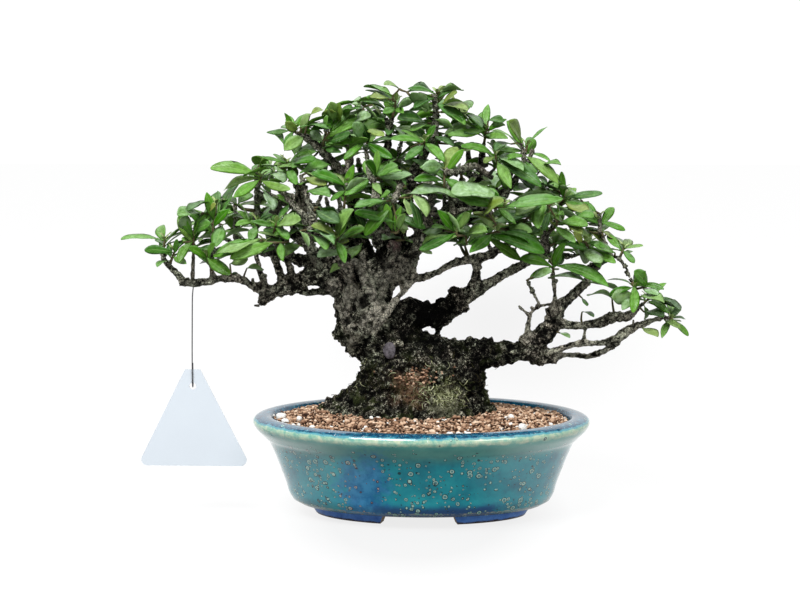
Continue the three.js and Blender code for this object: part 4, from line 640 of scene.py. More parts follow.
# Materials of one noise: the shader's constants, the noise and its colours, then the relief's noise, and its
# depth in metres with its strength
PLAIN_MATERIALS = {
    "raw_clay": (
        {"Roughness": 0.85}, (260, 5, 0.65),
        [(0.3, (0.20, 0.145, 0.09)), (0.55, (0.36, 0.28, 0.19)), (0.75, (0.47, 0.38, 0.27))],
        (900, 4, 0.7), (0.0003, 0.6),
    ),
    "soil_bed": (
        {"Roughness": 0.95, "Specular_IOR_Level": 0.1}, (420, 4, 0.65),
        [(0.3, (0.035, 0.018, 0.010)), (0.6, (0.12, 0.065, 0.04))], (500, 4, 0.7), (0.001, 0.8),
    ),
    "scar": (
        {"Roughness": 0.6, "Specular_IOR_Level": 0.2}, (500, 5, 0.7),
        [(0.35, (0.020, 0.017, 0.019)), (0.65, (0.15, 0.135, 0.150))], (900, 4, 0.7), (0.0005, 0.7),
    ),
    "stem": (
        {"Roughness": 0.7, "Specular_IOR_Level": 0.15}, (200, 3, 0.6),
        [(0.3, (0.030, 0.024, 0.012)), (0.5, (0.085, 0.075, 0.030)), (0.72, (0.17, 0.13, 0.08))],
        (900, 3, 0.6), (0.0003, 0.6),
    ),
    "wire": (
        {"Metallic": 0.85, "Roughness": 0.42}, (600, 4, 0.6),
        [(0.3, (0.035, 0.035, 0.037)), (0.7, (0.13, 0.13, 0.135))], (1500, 2, 0.6), (0.0001, 0.5),
    ),
}

# Light: name, place and aim in metres, size across and power
LIGHTS = [
    ("key", (-0.6, -1.2, 1.9), (0, 0, 0.15), 1.1, 62),
    ("fill", (1.3, -1.5, 1.0), (0, 0, 0.12), 1.0, 16),
]
# The world: its light from the front and the back, what comes on top from above, and how bright it looks
WORLD_FRONT_BACK = (0.12, 0.9)
WORLD_ABOVE = 0.52
WORLD_SEEN = 1.05
# The floor: half its side, between which distances its brightness changes, in metres ahead and a number of
# times as short sideways, that brightness near and far, to the camera and in reflections, and its light. Its
# glow is dimmer near the pot: a painted shadow
FLOOR_HALF = 4.0
FLOOR_FADE = (0.115, 0.2)
FLOOR_GLOW = (0.81, 0.93)
FLOOR_SIDEWAYS = 2.0
FLOOR_MIRRORED = (0.12, 1.0)
FLOOR_BOUNCE = 0.32
FLOOR_GREY = 0.07
# The floor behind the pot is painted a little darker, as shade: the middle of that in mm, how far it reaches
# and how dark it is
PAINTED_SHADE_CENTRE = (40, 900, 0)
PAINTED_SHADE_REACH = (250, 1000)
PAINTED_SHADE_BEHIND = 0.86
WHITE = (1.0, 1.0, 1.0, 1.0)


def place(points):
    """Pot-frame millimetres to row-frame metres."""
    return np.asarray(points, float) * MM + CENTRE


def draw(i, j):
    """A number from 0 to 1 that depends only on the two whole numbers."""
    t = ((i + 1) * 0x9E3779B1 ^ (j + 1) * 0x85EBCA6B) & 0xFFFFFFFF
    t = ((t ^ t >> 15) * 0x2C1B3C6D) & 0xFFFFFFFF
    t = ((t ^ t >> 12) * 0x297A2D39) & 0xFFFFFFFF
    return (t ^ t >> 15) / 2 ** 32


def unit(vector):
    return vector / np.linalg.norm(vector)


def rgb(red, green, blue):
    return (red, green, blue, 1.0)


# Camera and lines of sight
def view_axes():
    """The camera's place and its directions to the right, up and ahead, in the pot's frame."""
    sine, cosine = math.sin(VIEW_AZIMUTH), math.cos(VIEW_AZIMUTH)
    flat = math.cos(VIEW_ELEVATION)
    ahead = np.array([-sine * flat, cosine * flat, -math.sin(VIEW_ELEVATION)])
    level = np.array([cosine, sine, 0])
    above = np.cross(level, ahead)
    right = level * math.cos(VIEW_ROLL) - above * math.sin(VIEW_ROLL)
    up = level * math.sin(VIEW_ROLL) + above * math.cos(VIEW_ROLL)
    eye = level * AIM_SIDEWAYS + np.array([0, 0, AIM_HEIGHT]) - ahead * VIEW_DISTANCE
    return eye, right, up, ahead


def pixel(point):
    """The photograph's pixel at which the camera sees a point."""
    eye, right, up, ahead = view_axes()
    away = point - eye
    scale = FOCAL_PIXELS / away.dot(ahead)
    return PHOTO_WIDTH / 2 + away.dot(right) * scale, PHOTO_HEIGHT / 2 - away.dot(up) * scale


def sight(px, py):
    """The camera's place and the direction in which it sees a pixel of the photograph."""
    eye, right, up, ahead = view_axes()
    return eye, unit(ahead * FOCAL_PIXELS + right * (px - PHOTO_WIDTH / 2) + up * (PHOTO_HEIGHT / 2 - py))


def meet(surface, eye, way):
    """Where a line of sight meets a surface, and the surface's normal there, or None for both."""
    where, normal, _, _ = surface.ray_cast(Vector(eye), Vector(way))
    if where is None:
        return None, None
    return np.array(where), np.array(normal)


def make_camera():
    """The scene's camera, where the photograph was taken from."""
    eye, right, up, ahead = view_axes()
    camera = bpy.data.objects.new("camera", bpy.data.cameras.new("camera"))
    camera.data.sensor_width = SENSOR_MM
    camera.data.lens = FOCAL_PIXELS / PHOTO_WIDTH * SENSOR_MM
    camera.data.clip_end = CLIP_END
    rotation = Matrix((right.tolist(), up.tolist(), (-ahead).tolist())).transposed().to_4x4()
    camera.matrix_world = Matrix.Translation(place(eye)) @ rotation
    bpy.context.scene.collection.objects.link(camera)
    bpy.context.scene.camera = camera


# Node trees
class Value:
    """A node's output, which can be reckoned with like a number: each step adds one Math node."""

    def __init__(self, nodes, socket):
        self.nodes = nodes
        self.socket = socket

    def __add__(self, other):
        return self.nodes.math("ADD", self, other)

    def __mul__(self, other):
        return self.nodes.math("MULTIPLY", self, other)

    def __sub__(self, other):
        return self.nodes.math("SUBTRACT", self, other)

    def __rsub__(self, other):
        return self.nodes.math("SUBTRACT", other, self)

    def __truediv__(self, other):
        return self.nodes.math("DIVIDE", self, other)

    def __pow__(self, other):
        return self.nodes.math("POWER", self, other)


class Nodes:
    """A short way to write a node tree: each call adds its nodes and gives the last one's output back."""

    def __init__(self, tree):
        self.tree = tree

    def link(self, value, socket):
        """Joins a node's output to a socket, or sets the socket to a number, a vector or a colour."""
        if isinstance(value, Value):
            self.tree.links.new(value.socket, socket)
        else:
            socket.default_value = value

    def node(self, kind, inputs=(), out=0, **settings):
        node = self.tree.nodes.new(kind)
        for key, value in settings.items():
            setattr(node, key, value)
        for key, value in dict(inputs).items():
            self.link(value, node.inputs[key])
        return Value(self, node.outputs[out])

    def math(self, operation, a, b=0.0):
        return self.node("ShaderNodeMath", {0: a, 1: b}, operation=operation)

    def vector(self, operation, a, b, out=0):
        return self.node("ShaderNodeVectorMath", {0: a, 1: b}, out, operation=operation)

    def blend(self, share, a, b):
        """A number between a, where share is 0, and b, where it is 1."""
        return self.node("ShaderNodeMix", {0: share, 2: a, 3: b})

    def range(self, value, low, high, to_low=0.0, to_high=1.0, smooth=False):
        """The value carried from one span to another, and held at the second one's ends."""
        return self.node("ShaderNodeMapRange", {0: value, 1: low, 2: high, 3: to_low, 4: to_high},
                         interpolation_type="SMOOTHSTEP" if smooth else "LINEAR")

    def band(self, value, rise, fall, smooth=False):
        """1 between the two slopes, and 0 outside them."""
        return self.range(value, *rise, smooth=smooth) * self.range(value, *fall, 1, 0, smooth)


class Shader(Nodes):
    """The node tree of one material, whose constants stay on the shader's own sockets."""

    def __init__(self, name, **constants):
        self.material = bpy.data.materials.new(name)
        self.material.use_nodes = True
        super().__init__(self.material.node_tree)
        self.surface = self.tree.nodes["Principled BSDF"].inputs
        for socket, value in constants.items():
            self.surface[socket.replace("_", " ")].default_value = value

    def here(self):
        return self.node("ShaderNodeTexCoord", out="Object")

    def axis(self, name):
        """The place along one of the pot's axes, in millimetres."""
        along = self.node("ShaderNodeSeparateXYZ", {0: self.here()}, name)
        return (along - float(CENTRE["XYZ".index(name)])) * (1 / MM)

    def distance(self, at, centre):
        """How far a place is from a centre in the pot's frame, in metres."""
        return self.vector("DISTANCE", at, tuple(place(centre)), "Value")

    def attribute(self, name):
        return self.node("ShaderNodeAttribute", out="Fac", attribute_name=name)

    def noise(self, scale, detail, rough, at=None, out="Fac"):
        inputs = {"Vector": at or self.here(), "Scale": scale, "Detail": detail, "Roughness": rough}
        return self.node("ShaderNodeTexNoise", inputs, out)

    def wander(self, scale, detail, rough, reach):
        """A noise that wanders about 0 and stays within half the reach."""
        return (self.noise(scale, detail, rough) - 0.5) * reach

    def cells(self, scale, at=None, feature="F1", out="Distance"):
        inputs = {"Vector": at or self.here(), "Scale": scale}
        return self.node("ShaderNodeTexVoronoi", inputs, out, feature=feature)

    def shifted(self, scale, reach):
        """The place, moved by a colour noise at most about reach metres each way."""
        shift = self.vector("SUBTRACT", self.noise(scale, 3, 0.6, out="Color"), (0.5, 0.5, 0.5))
        shift = self.node("ShaderNodeVectorMath", {0: shift, "Scale": reach * 2}, operation="SCALE")
        return self.vector("ADD", self.here(), shift)

    def mix(self, share, a, b, blend="MIX"):
        """A colour between a, where share is 0, and b, where it is 1."""
        return self.node("ShaderNodeMix", {0: share, 6: a, 7: b}, 2, data_type="RGBA", blend_type=blend)

    def shade(self, colour, amount):
        """A colour times a number."""
        grey = self.node("ShaderNodeCombineColor", {0: amount, 1: amount, 2: amount})
        return self.mix(1.0, colour, grey, "MULTIPLY")

    def ramp(self, value, stops):
        node = self.tree.nodes.new("ShaderNodeValToRGB")
        elements = node.color_ramp.elements
        while len(elements) < len(stops):
            elements.new(0.5)
        for element, (position, colour) in zip(elements, stops):
            element.position = position
            element.color = rgb(*colour)
        self.link(value, node.inputs[0])
        return Value(self, node.outputs[0])

    def bump(self, height, distance, strength, **below):
        inputs = {"Height": height, "Distance": distance, "Strength": strength}
        return self.node("ShaderNodeBump", {**inputs, **below})

    def finish(self, colour, normal, **more):
        """Links the surface's colour, normal and other sockets, and gives the material back."""
        for name, value in {"Base Color": colour, "Normal": normal, **more}.items():
            self.link(value, self.surface[name])
        return self.material


# Pieces
def add_piece(name, points, faces, materials, in_metres=False):
    mesh = bpy.data.meshes.new(name)
    mesh.from_pydata(points if in_metres else place(points), [], faces)
    mesh.polygons.foreach_set("use_smooth", [True] * len(mesh.polygons))
    for material in materials:
        mesh.materials.append(material)
    piece = bpy.data.objects.new(name, mesh)
    bpy.context.scene.collection.objects.link(piece)
    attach(piece, "root")
    return piece


def point_attribute(piece, name, values):
    attribute = piece.data.attributes.new(name, "FLOAT", "POINT")
    attribute.data.foreach_set("value", np.asarray(values, np.float32))


class Skin:
    """Points and faces of one closed piece, gathered from several lofts."""

    def __init__(self):
        self.points = []
        self.faces = []
        self.looks = []
        self.values = {}

    def ring_loft(self, rings, look=0, tip=None, **values):
        """Joins rings of equally many points, and closes the start flat and the end flat or on a tip.

        look is the material of all the faces, or a function of their number and of the points in a ring that
        lists it for each. Each of the values is one number for all the points, or a list with one for each.
        """
        first = len(self.points)
        n = len(rings[0])
        for ring in rings:
            self.points.extend(tuple(p) for p in ring)
        last = first + (len(rings) - 1) * n
        faces = []
        for row in range(first, last, n):
            faces.extend([row + k, row + (k + 1) % n, row + n + (k + 1) % n, row + n + k] for k in range(n))
        faces.append([first + k for k in reversed(range(n))])
        if tip is None:
            faces.append([last + k for k in range(n)])
        else:
            self.points.append(tuple(tip))
            faces.extend([last + k, last + (k + 1) % n, len(self.points) - 1] for k in range(n))
        self.faces.extend(faces)
        self.looks.extend(look(len(faces), n) if callable(look) else [look] * len(faces))
        added = len(self.points) - first
        for name, value in values.items():
            self.values.setdefault(name, []).extend([value] * added if np.isscalar(value) else value)

    def piece(self, name, materials, slot):
        piece = add_piece(name, self.points, self.faces, materials)
        piece.data.polygons.foreach_set("material_index", self.looks)
        for key, values in self.values.items():
            point_attribute(piece, key, values)
        return piece


def catmull(rows, steps_for):
    """Points on a smooth line through the rows, with steps_for(row, next row) steps between each two."""
    rows = np.asarray(rows, float)
    padded = np.vstack([2 * rows[0] - rows[1], rows, 2 * rows[-1] - rows[-2]])
    line = []
    for i in range(1, len(padded) - 2):
        a, b, c, d = padded[i - 1:i + 3]
        steps = steps_for(b, c)
        for k in range(steps):
            t = k / steps
            line.append(0.5 * (2 * b + (c - a) * t + (2 * a - 5 * b + 4 * c - d) * t ** 2
                               + (3 * b - a - 3 * c + d) * t ** 3))
    line.append(rows[-1])
    return np.array(line)


def every(spacing):
    """Steps of about this many millimetres, for catmull."""
    return lambda a, b: max(1, round(float(np.linalg.norm(b[:3] - a[:3])) / spacing))


def tube_rings(rows, sides, wobble=0.0, seed=0):
    """Rings round rows of x, y, z and radius."""
    rows = np.asarray(rows, float)
    side = np.array([0.31, -0.77, 0.56])
    angles = 2 * math.pi * np.arange(sides) / sides
    rings = []
    for i, (*middle, radius) in enumerate(rows):
        along = unit(rows[min(i + 1, len(rows) - 1), :3] - rows[max(i - 1, 0), :3])
        side = unit(side - along * side.dot(along))
        other = np.cross(along, side)
        reach = radius * np.array([1 + wobble * (draw(seed + i, k) - 0.5) for k in range(sides)])
        across = np.outer(reach * np.cos(angles), side)
        rings.append(middle + across + np.outer(reach * np.sin(angles), other))
    return rings


def ball_rows(middle, half_width, half_height, shares, extra=0.0):
    """Rows of x, y, z and radius up through a ball or an egg, for tube_rings."""
    x, y, z = middle
    return [[x, y, z + half_height * c, half_width * math.sqrt(1 - c * c) + extra] for c in shares]


# Wood
def branch_point(rows, share):
    """The row at a share of a branch's rows, counted by rows from its foot."""
    at = share * (len(rows) - 1)
    i = min(int(at), len(rows) - 2)
    low, high = np.asarray(rows[i:i + 2], float)
    return low + (at - i) * (high - low)


def ridges(angle):
    """How far the root ridges carry the trunk's outline out in a direction."""
    total = 0.9
    for degrees, height in ROOT_RIDGES:
        away = abs((angle - math.radians(degrees) + 3 * math.pi) % (2 * math.pi) - math.pi)
        total += height * math.exp(-((away / RIDGE_WIDTH) ** 2))
    return total


def trunk_rings():
    """Rings of the trunk's skin from the roots up, with its ridges."""
    def steps(low, high):
        return max(1, round((high[0] - low[0]) / TRUNK_STEP))

    rings = []
    for z, cx, cy, hx, hy, ridged in catmull(TRUNK_SECTIONS, steps):
        ring = []
        for k in range(TRUNK_AROUND):
            angle = 2 * math.pi * k / TRUNK_AROUND
            f = 1 + ridged * (ridges(angle) - 1)
            ring.append((cx + hx * f * math.cos(angle), cy + hy * f * math.sin(angle), z))
        rings.append(ring)
    return rings


def shoot_line(row):
    """The wood of a shoot from its branch, and its green part, on one curve to its first point."""
    _, branch, share, stem, _ = row
    *start, radius = branch_point(BRANCHES[branch], share)
    start = np.array(start)
    to = np.asarray(stem[0], float)
    away = np.linalg.norm(to - start)
    bend = start + (to - start) * np.array([0.55, 0.55, 0.35])
    split = min(0.7, max(1 - GREEN_LENGTH / away, (radius + 1.5) / away))

    def at(t):
        return (1 - t) ** 2 * start + 2 * t * (1 - t) * bend + t ** 2 * to

    thick = min(radius, 1.5)
    wood = [[*at(u * split), thick + (1.0 - thick) * u] for u in np.linspace(0, 1, 6)]
    green = [[*at(split), 0.95], *[[*p, 0.7] for p in stem]]
    return wood, green


def add_strands(skin):
    """Strands on the trunk's front, where the camera's view through their pixels meets it."""
    trunk = BVHTree.FromPolygons(skin.points, skin.faces)
    lines = []
    for number, (seen, radius, pale) in enumerate(STRANDS):
        hits = []
        for px, py in seen:
            eye, way = sight(px, py)
            hit, _ = meet(trunk, eye, way)
            if hit is not None:
                hits.append([*(hit - way * STRAND_PROUD * radius), radius])
        level = np.median([hit[1] for hit in hits])
        line = catmull([hit for hit in hits if abs(hit[1] - level) < STRAND_KEEP], every(1.2))
        for i, row in enumerate(line):
            row[3] *= 1 + 0.3 * noise.noise(Vector((i * 0.5, number * 3.1, 2.2)))
        skin.ring_loft(tube_rings(line, 8, 0.15, 50 * number))
        lines.append(np.column_stack([line, np.full(len(line), pale)]))
    return lines


def make_wood_blank():
    """The trunk and the branches as overlapping tubes, and their centre lines with radius and paleness."""
    skin = Skin()
    skin.ring_loft(trunk_rings(), tip=TRUNK_TIP)
    lines = []
    for number, (name, rows) in enumerate(BRANCHES.items()):
        line = catmull(rows, every(WOOD_STEP))
        for i, row in enumerate(line):
            swell = noise.noise(Vector((i * 0.33, number * 7.7, 0.5)))
            row[3] = max(0.9, row[3] * (1 + 0.16 * swell) - 0.35 * (row[3] > 3))
        sides = 16 if line[:, 3].max() > THICK_BRANCH else 10
        skin.ring_loft(tube_rings(line, sides, 0.12, 100 * number))
        lines.append(np.column_stack([line, np.full(len(line), PALE_BRANCHES.get(name, 0.0))]))
    for *middle, radius in LUMPS:
        skin.ring_loft(tube_rings(ball_rows(middle, radius, radius, LUMP_ROWS), 10))
    lines.extend(add_strands(skin))
    return skin, np.vstack(lines)


def wood_nature(points, lines):
    """The wood's radius and paleness under each point, by the nearest centre line, or else the trunk's."""
    tree = kdtree.KDTree(len(lines))
    for i, row in enumerate(lines):
        tree.insert(row[:3], i)
    tree.balance()
    nature = np.empty((len(points), 2))
    for i, p in enumerate(points):
        _, index, distance = tree.find(p)
        own, pale = lines[index, 3:]
        nature[i] = (own if distance < 1.8 * own + 1 else TRUNK_THICK,
                     pale * min(1.0, max(0.0, (1.9 - distance / own) / 0.5)))
    return nature


def relief(point, thick):
    """The bark's height in mm, its mark and its hollow share: knobs, plates and pits, finer on thin wood. The
    bark's colour uses the mark and the hollow share for painted light on knobs and painted shade in pits and
    hollows.
    """
    p = Vector(point)
    broad = noise.fractal(p / BROAD_SIZE, 0.9, 2.1, 3)
    near = noise.voronoi(p / (KNOB_SIZE if thick > 6 else THIN_KNOB_SIZE))[0]
    knob = 0.58 - near[0] * 1.15
    pit = noise.fractal(p / PIT_SIZE + Vector((9.1, 3.3, 7.7)), 0.8, 2.2, 4)
    size = min(1.0, thick / 10)
    height = size * (1.0 * broad + 2.7 * knob + 1.2 * pit - 0.6) + 0.3 * knob + 0.15 * pit
    hollow = 0.0
    for centre, reach, depth in HOLLOWS:
        share = max(0.0, 1 - (p - Vector(centre)).length / reach)
        height -= depth * min(1.0, 2 * share)
        hollow = max(hollow, min(1.0, 2.5 * share))
    return height, knob + 0.8 * pit, hollow


def vectors(items, name):
    """The x, y and z of every item of a mesh, in rows."""
    values = np.empty(len(items) * 3)
    items.foreach_get(name, values)
    return values.reshape(-1, 3)


def make_wood(material):
    """The trunk and its branches in one skin with relief, and that skin as a surface to lay things on."""
    skin, lines = make_wood_blank()
    blank = add_piece("wood_blank", skin.points, skin.faces, [])
    remesh = blank.modifiers.new("remesh", "REMESH")
    remesh.mode = "VOXEL"
    remesh.voxel_size = WOOD_VOXEL
    soften = blank.modifiers.new("soften", "SMOOTH")
    soften.factor = 0.5
    soften.iterations = 3
    mesh = bpy.data.meshes.new_from_object(blank.evaluated_get(bpy.context.evaluated_depsgraph_get()))
    where = vectors(mesh.vertices, "co")
    inner = (where - CENTRE) / MM
    thick, pale = wood_nature(inner, lines).T
    height, mark, hollow = np.array([relief(p, t) for p, t in zip(inner, thick)]).T
    buried = np.clip((inner[:, 2] - ROOT_FLARE_TOP + 2) / 4, 0, 1)
    moved = where + vectors(mesh.vertex_normals, "vector") * (height * buried * MM)[:, None]
    faces = [tuple(p.vertices) for p in mesh.polygons]
    bpy.data.objects.remove(blank)
    bpy.data.meshes.remove(mesh)
    wood = add_piece("wood", moved.tolist(), faces, [material], in_metres=True)
    for name, values in (("relief", mark), ("thick", thick), ("hollow", hollow), ("pale", pale)):
        point_attribute(wood, name, values)
    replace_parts(wood, "trunk")
    return BVHTree.FromPolygons(((moved - CENTRE) / MM).tolist(), faces)


def scatter(patch, rng):
    """A pixel drawn from about a patch of the photograph: left, top, right and bottom."""
    left, top, right, bottom = patch
    px = rng.normal((left + right) / 2, (right - left) / 4)
    return px, rng.normal((top + bottom) / 2, (bottom - top) / 4)


def dress_trunk(surface, grain, fibres, scar):
    """Soil crumbs, moss and loose fibres on the trunk's foot, and the grey scar on its front."""
    rng = np.random.default_rng(31)
    litter = Grains()
    for _ in range(LITTER_COUNT):
        hit, _ = meet(surface, *sight(*scatter(LITTER, rng)))
        if hit is not None:
            axes = rng.uniform(0.45, 1.05) * FLAT_GRAIN
            litter.add(hit, axes, float(np.clip(rng.normal(0.5, 0.2), 0, 1)), rng)
    litter.piece("trunk_litter", grain)
    skin = Skin()
    for _ in range(MOSS_COUNT):
        eye, way = sight(*scatter(MOSS, rng))
        add_fibre(skin, surface, eye, way, rng, float(np.clip(rng.normal(0.68, 0.26), 0.1, 1)), (0.13, 0.25))
    for _ in range(LOOSE_FIBRES):
        turn, z = rng.uniform(0, 2 * math.pi), rng.uniform(*LOOSE_HEIGHTS)
        way = np.array([-math.cos(turn), -math.sin(turn), -0.1])
        eye = np.array([-4, 2, z]) - way * OUTSIDE
        tone = 0.85 if rng.random() < 0.1 else rng.uniform(0.0, 0.5)
        add_fibre(skin, surface, eye, way, rng, tone, (0.12, 0.24))
    skin.piece("moss_fibres", [fibres], "leaf")
    px, py, half_width, half_height = SCAR
    middle, _ = meet(surface, *sight(px, py))
    lens = Skin()
    rows = ball_rows(middle, half_width, half_height, SCAR_ROWS, 0.1)
    lens.ring_loft(tube_rings(rows, 20, 0.3, 5))
    lens.points = [tuple(middle + (np.array(p) - middle) * (1, SCAR_FLATNESS, 1)) for p in lens.points]
    lens.piece("trunk_scar", [scar], "bark")


def add_fibre(skin, surface, eye, way, rng, tone, radii):
    """A thin curved fibre lying on the bark where a line of sight meets it."""
    start, normal = meet(surface, eye, way)
    if start is None:
        return
    side = unit(np.cross(normal, rng.normal(size=3)))
    other = np.cross(normal, side)
    length = rng.uniform(1.5, 6.0)
    bend = rng.uniform(-0.35, 0.35) * length
    radius = rng.uniform(*radii)
    rows = []
    for t in (0.0, 0.2, 0.4, 0.6, 0.8, 1.0):
        lift = radius * 0.6 + 0.9 * math.sin(t * math.pi) * rng.uniform(0.4, 1.0)
        where = start + side * ((t - 0.5) * length) + other * (bend * t * (1 - t) * 4 - bend) + normal * lift
        rows.append([*where, radius * (1 - 0.5 * t)])
    skin.ring_loft(tube_rings(rows, 4), tone=tone)


# Leaves
def add_leaf(skin, base, tip, facing, share, look, rng):
    """One closed leaf blade with its stalk, from base to tip, with its upper side towards facing."""
    length = np.linalg.norm(tip - base)
    along = (tip - base) / length
    normal = unit(facing - along * facing.dot(along))
    side = np.cross(along, normal)
    half = length * share / 2
    arch = length * rng.uniform(0.02, 0.11)
    twist = rng.uniform(-0.4, 0.4)
    trough = rng.uniform(0.05, 0.5)
    wave = rng.uniform(0, 2 * math.pi)
    ripple = rng.uniform(0.03, 0.12)
    sway = length * rng.uniform(-0.06, 0.06)
    tone, olive, pale = look
    shape = ROUNDED_LEAF if rng.random() < ROUNDED_SHARE else POINTED_LEAF

    def ring(t, width):
        turn = twist * (t - 0.4)
        across = side * math.cos(turn) + normal * math.sin(turn)
        above = normal * math.cos(turn) - side * math.sin(turn)
        bulge = 4 * t * (1 - t)
        middle = base + along * (t * length) + normal * (arch * bulge) + side * (sway * bulge)
        thick = STALK_THICK if t < STALK_END else BLADE_THICK
        points = []
        for s, level in ACROSS:
            lift = trough * abs(s) * half * width + ripple * half * math.sin(11 * t + wave + 2 * s) * abs(s)
            points.append(middle + across * (s * half * width) + above * (lift + thick * level))
        return points

    def sides(count, n):
        blade = (len(shape) - 1) * n
        return [LEAF_TOP if i < blade and i % n in TOP_SIDES else LEAF_UNDER for i in range(count)]

    skin.ring_loft([ring(t, w) for t, w in shape], sides, tip=ring(1.0, 0.0)[2],
                   tone=tone, olive=olive, pale=pale,
                   along=[t for t, _ in shape for _ in ACROSS] + [1.0],
                   across=[s for _ in shape for s, _ in ACROSS] + [0])


def add_stalk(skin, rows, sides, tip=None):
    """Adds a twig or a stem, in the stem's material."""
    skin.ring_loft(tube_rings(rows, sides), STEM, tip=tip,
                   tone=0.5, olive=0.0, pale=0.0, along=0.0, across=0.0)


def seeded_tip(spray, centre, rank, attempt, lengths, behind):
    """A leaf's tip round the shoot's end, short on the tree's outer side; behind keeps it off the front."""
    seed = 1000 + spray * 97 + rank * 13
    outward = math.atan2(centre[1] - 4, centre[0] * 0.5)
    turn = outward + GOLDEN_ANGLE * (rank + 1) + (draw(seed, attempt) - 0.5) * 1.6
    rise = math.radians(-16 + 50 * draw(seed, attempt + 50))
    shortest, longest = lengths
    length = shortest + (longest - shortest) * draw(seed, attempt + 100)
    sideways = math.cos(turn) * math.cos(rise) * (OUTER_REACH if centre[0] * math.cos(turn) > 0 else 1)
    inwards = math.sin(turn) * math.cos(rise)
    if behind and inwards < 0:
        inwards *= -0.7
    tip = centre + length * np.array([sideways, inwards, math.sin(rise)])
    return tip, np.array([0.5 * math.cos(outward), 0.5 * math.sin(outward), 1])


class Crowd:
    """Keeps the leaves apart."""

    def __init__(self):
        self.samples = []

    def free(self, base, tip, room):
        """Whether the outer half of a leaf stays further than room from all leaves so far."""
        if not self.samples:
            return True
        own = np.array(self.outer_half(base, tip))
        return np.linalg.norm(np.array(self.samples)[None] - own[:, None], axis=2).min() > room

    def add(self, base, tip):
        self.samples.extend(self.outer_half(base, tip))

    @staticmethod
    def outer_half(base, tip):
        return [base + (tip - base) * t for t in (0.5, 0.75, 1.0)]


def plan_leaves(spray, row, green, crowd):
    """Base, tip, facing, width share and tone of each leaf of a shoot: the listed ones, then the seeded."""
    name, _, _, _, listed = row
    centre = np.asarray(green[-1][:3], float)
    plans = []
    for rank, (x, y, z, degrees) in enumerate(listed):
        base = branch_point(green, max(0.15, 0.94 - 0.16 * rank))[:3]
        tip = base + (np.array([x, y, z], float) - base) * SHORTER.get((name, rank), 1.0)
        tilt = math.radians(degrees)
        plans.append((base, tip, np.array([0, -math.sin(tilt), math.cos(tilt)]), *LISTED_LOOK))
        crowd.add(base, tip)
    count, large, look = FRONT_SEEDED if listed else BACK_SEEDED
    for rank in range(len(listed), count):
        base = branch_point(green, max(0.1, 0.97 - 0.1 * rank))[:3]
        lengths, room = LARGE_LEAF if rank < large else SMALL_LEAF
        for attempt in range(SEED_ATTEMPTS):
            tip, facing = seeded_tip(spray, centre, rank, attempt, lengths, bool(listed))
            if crowd.free(base, tip, room):
                plans.append((base, tip, facing, *look))
                crowd.add(base, tip)
                break
    return plans


def leaf_look(middle, rng):
    """Tone, olive and pale shares that wander from leaf to leaf; the pale share is painted sheen."""
    tone = float(np.clip(rng.normal(middle, 0.17), 0, 1))
    olive = rng.uniform(0.4, 0.9) if rng.random() < 0.15 else rng.uniform(0, 0.2)
    pale = rng.uniform(0.3, 0.7) if rng.random() < 0.12 else rng.uniform(0, 0.1)
    return tone, olive, pale


def make_spray(spray, row, crowd, materials):
    """One leafy shoot: its green stem, its leaves and three small new ones at its end."""
    name, _, _, _, listed = row
    _, green = shoot_line(row)
    rng = np.random.default_rng(500 + spray)
    skin = Skin()
    line = catmull(green, every(STEM_STEP))
    bud, before = line[-1, :3], line[-2, :3]
    add_stalk(skin, line, 7, tip=bud + 1.4 * (bud - before) / STEM_STEP)
    for rank, (base, tip, facing, share, middle) in enumerate(plan_leaves(spray, row, green, crowd)):
        tone, olive, pale = leaf_look(middle, rng)
        if rank < len(listed):
            olive *= 0.3
            pale *= 0.2
        add_leaf(skin, base, tip, facing, share * rng.uniform(0.8, 1.12), (tone, olive, pale), rng)
    for k in range(3):
        turn = 2.1 * k + rng.uniform(0, 1)
        out = np.array([math.cos(turn), math.sin(turn), 0.0])
        tip = bud + NEW_LEAF * out + np.array([0, 0, rng.uniform(2.5, 6)])
        add_leaf(skin, bud, tip, np.array([0, 0, 1.0]) - out, 0.42, (0.92, 0.3, 0), rng)
    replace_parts(skin.piece("leaves_" + name, materials, "leaf"), "spray_" + name)


class Wood:
    """Points along all the wood, to find what carries a leaf that the camera sees."""

    def __init__(self):
        lines = [catmull(rows, every(WOOD_STEP)) for rows in BRANCHES.values()]
        for row in SPRAYS:
            lines.extend(catmull(part, every(WOOD_STEP)) for part in shoot_line(row))
        self.rows = np.vstack(lines)

    def nearest(self, eye, way):
        """The wood nearest to a line of sight, and that point of the line which is level with it."""
        depth = (self.rows[:, :3] - eye) @ way
        beside = np.linalg.norm(self.rows[:, :3] - eye - depth[:, None] * way, axis=1) - self.rows[:, 3]
        best = int(np.argmin(np.maximum(beside, 0) + FRONT_PULL * (depth - depth.min())))
        return self.rows[best], eye + way * (depth[best] - 0.6 * self.rows[best, 3])

    def below(self, end):
        """The wood nearest to a twig's end, with wood above the end counted as further off."""
        gaps = np.linalg.norm(self.rows[:, :3] - end, axis=1)
        return self.rows[int(np.argmin(gaps + 0.5 * np.maximum(0, self.rows[:, 2] - end[2] + 4)))]

    def add(self, rows):
        self.rows = np.vstack([self.rows, rows])


def join_to_wood(skin, wood, base, carrier, rng):
    """A thin twig from the wood to a leaf's foot that is away from it."""
    gap = base - carrier[:3]
    away = np.linalg.norm(gap)
    if away > carrier[3] + 0.8:
        middle = carrier[:3] + gap * 0.5 + rng.normal(size=3) * 0.06 * away
        twig = catmull([[*carrier[:3], 0.85], [*middle, 0.7], [*base, 0.5]], every(2.5))
        add_stalk(skin, twig, 6)
        wood.add(twig[1:])


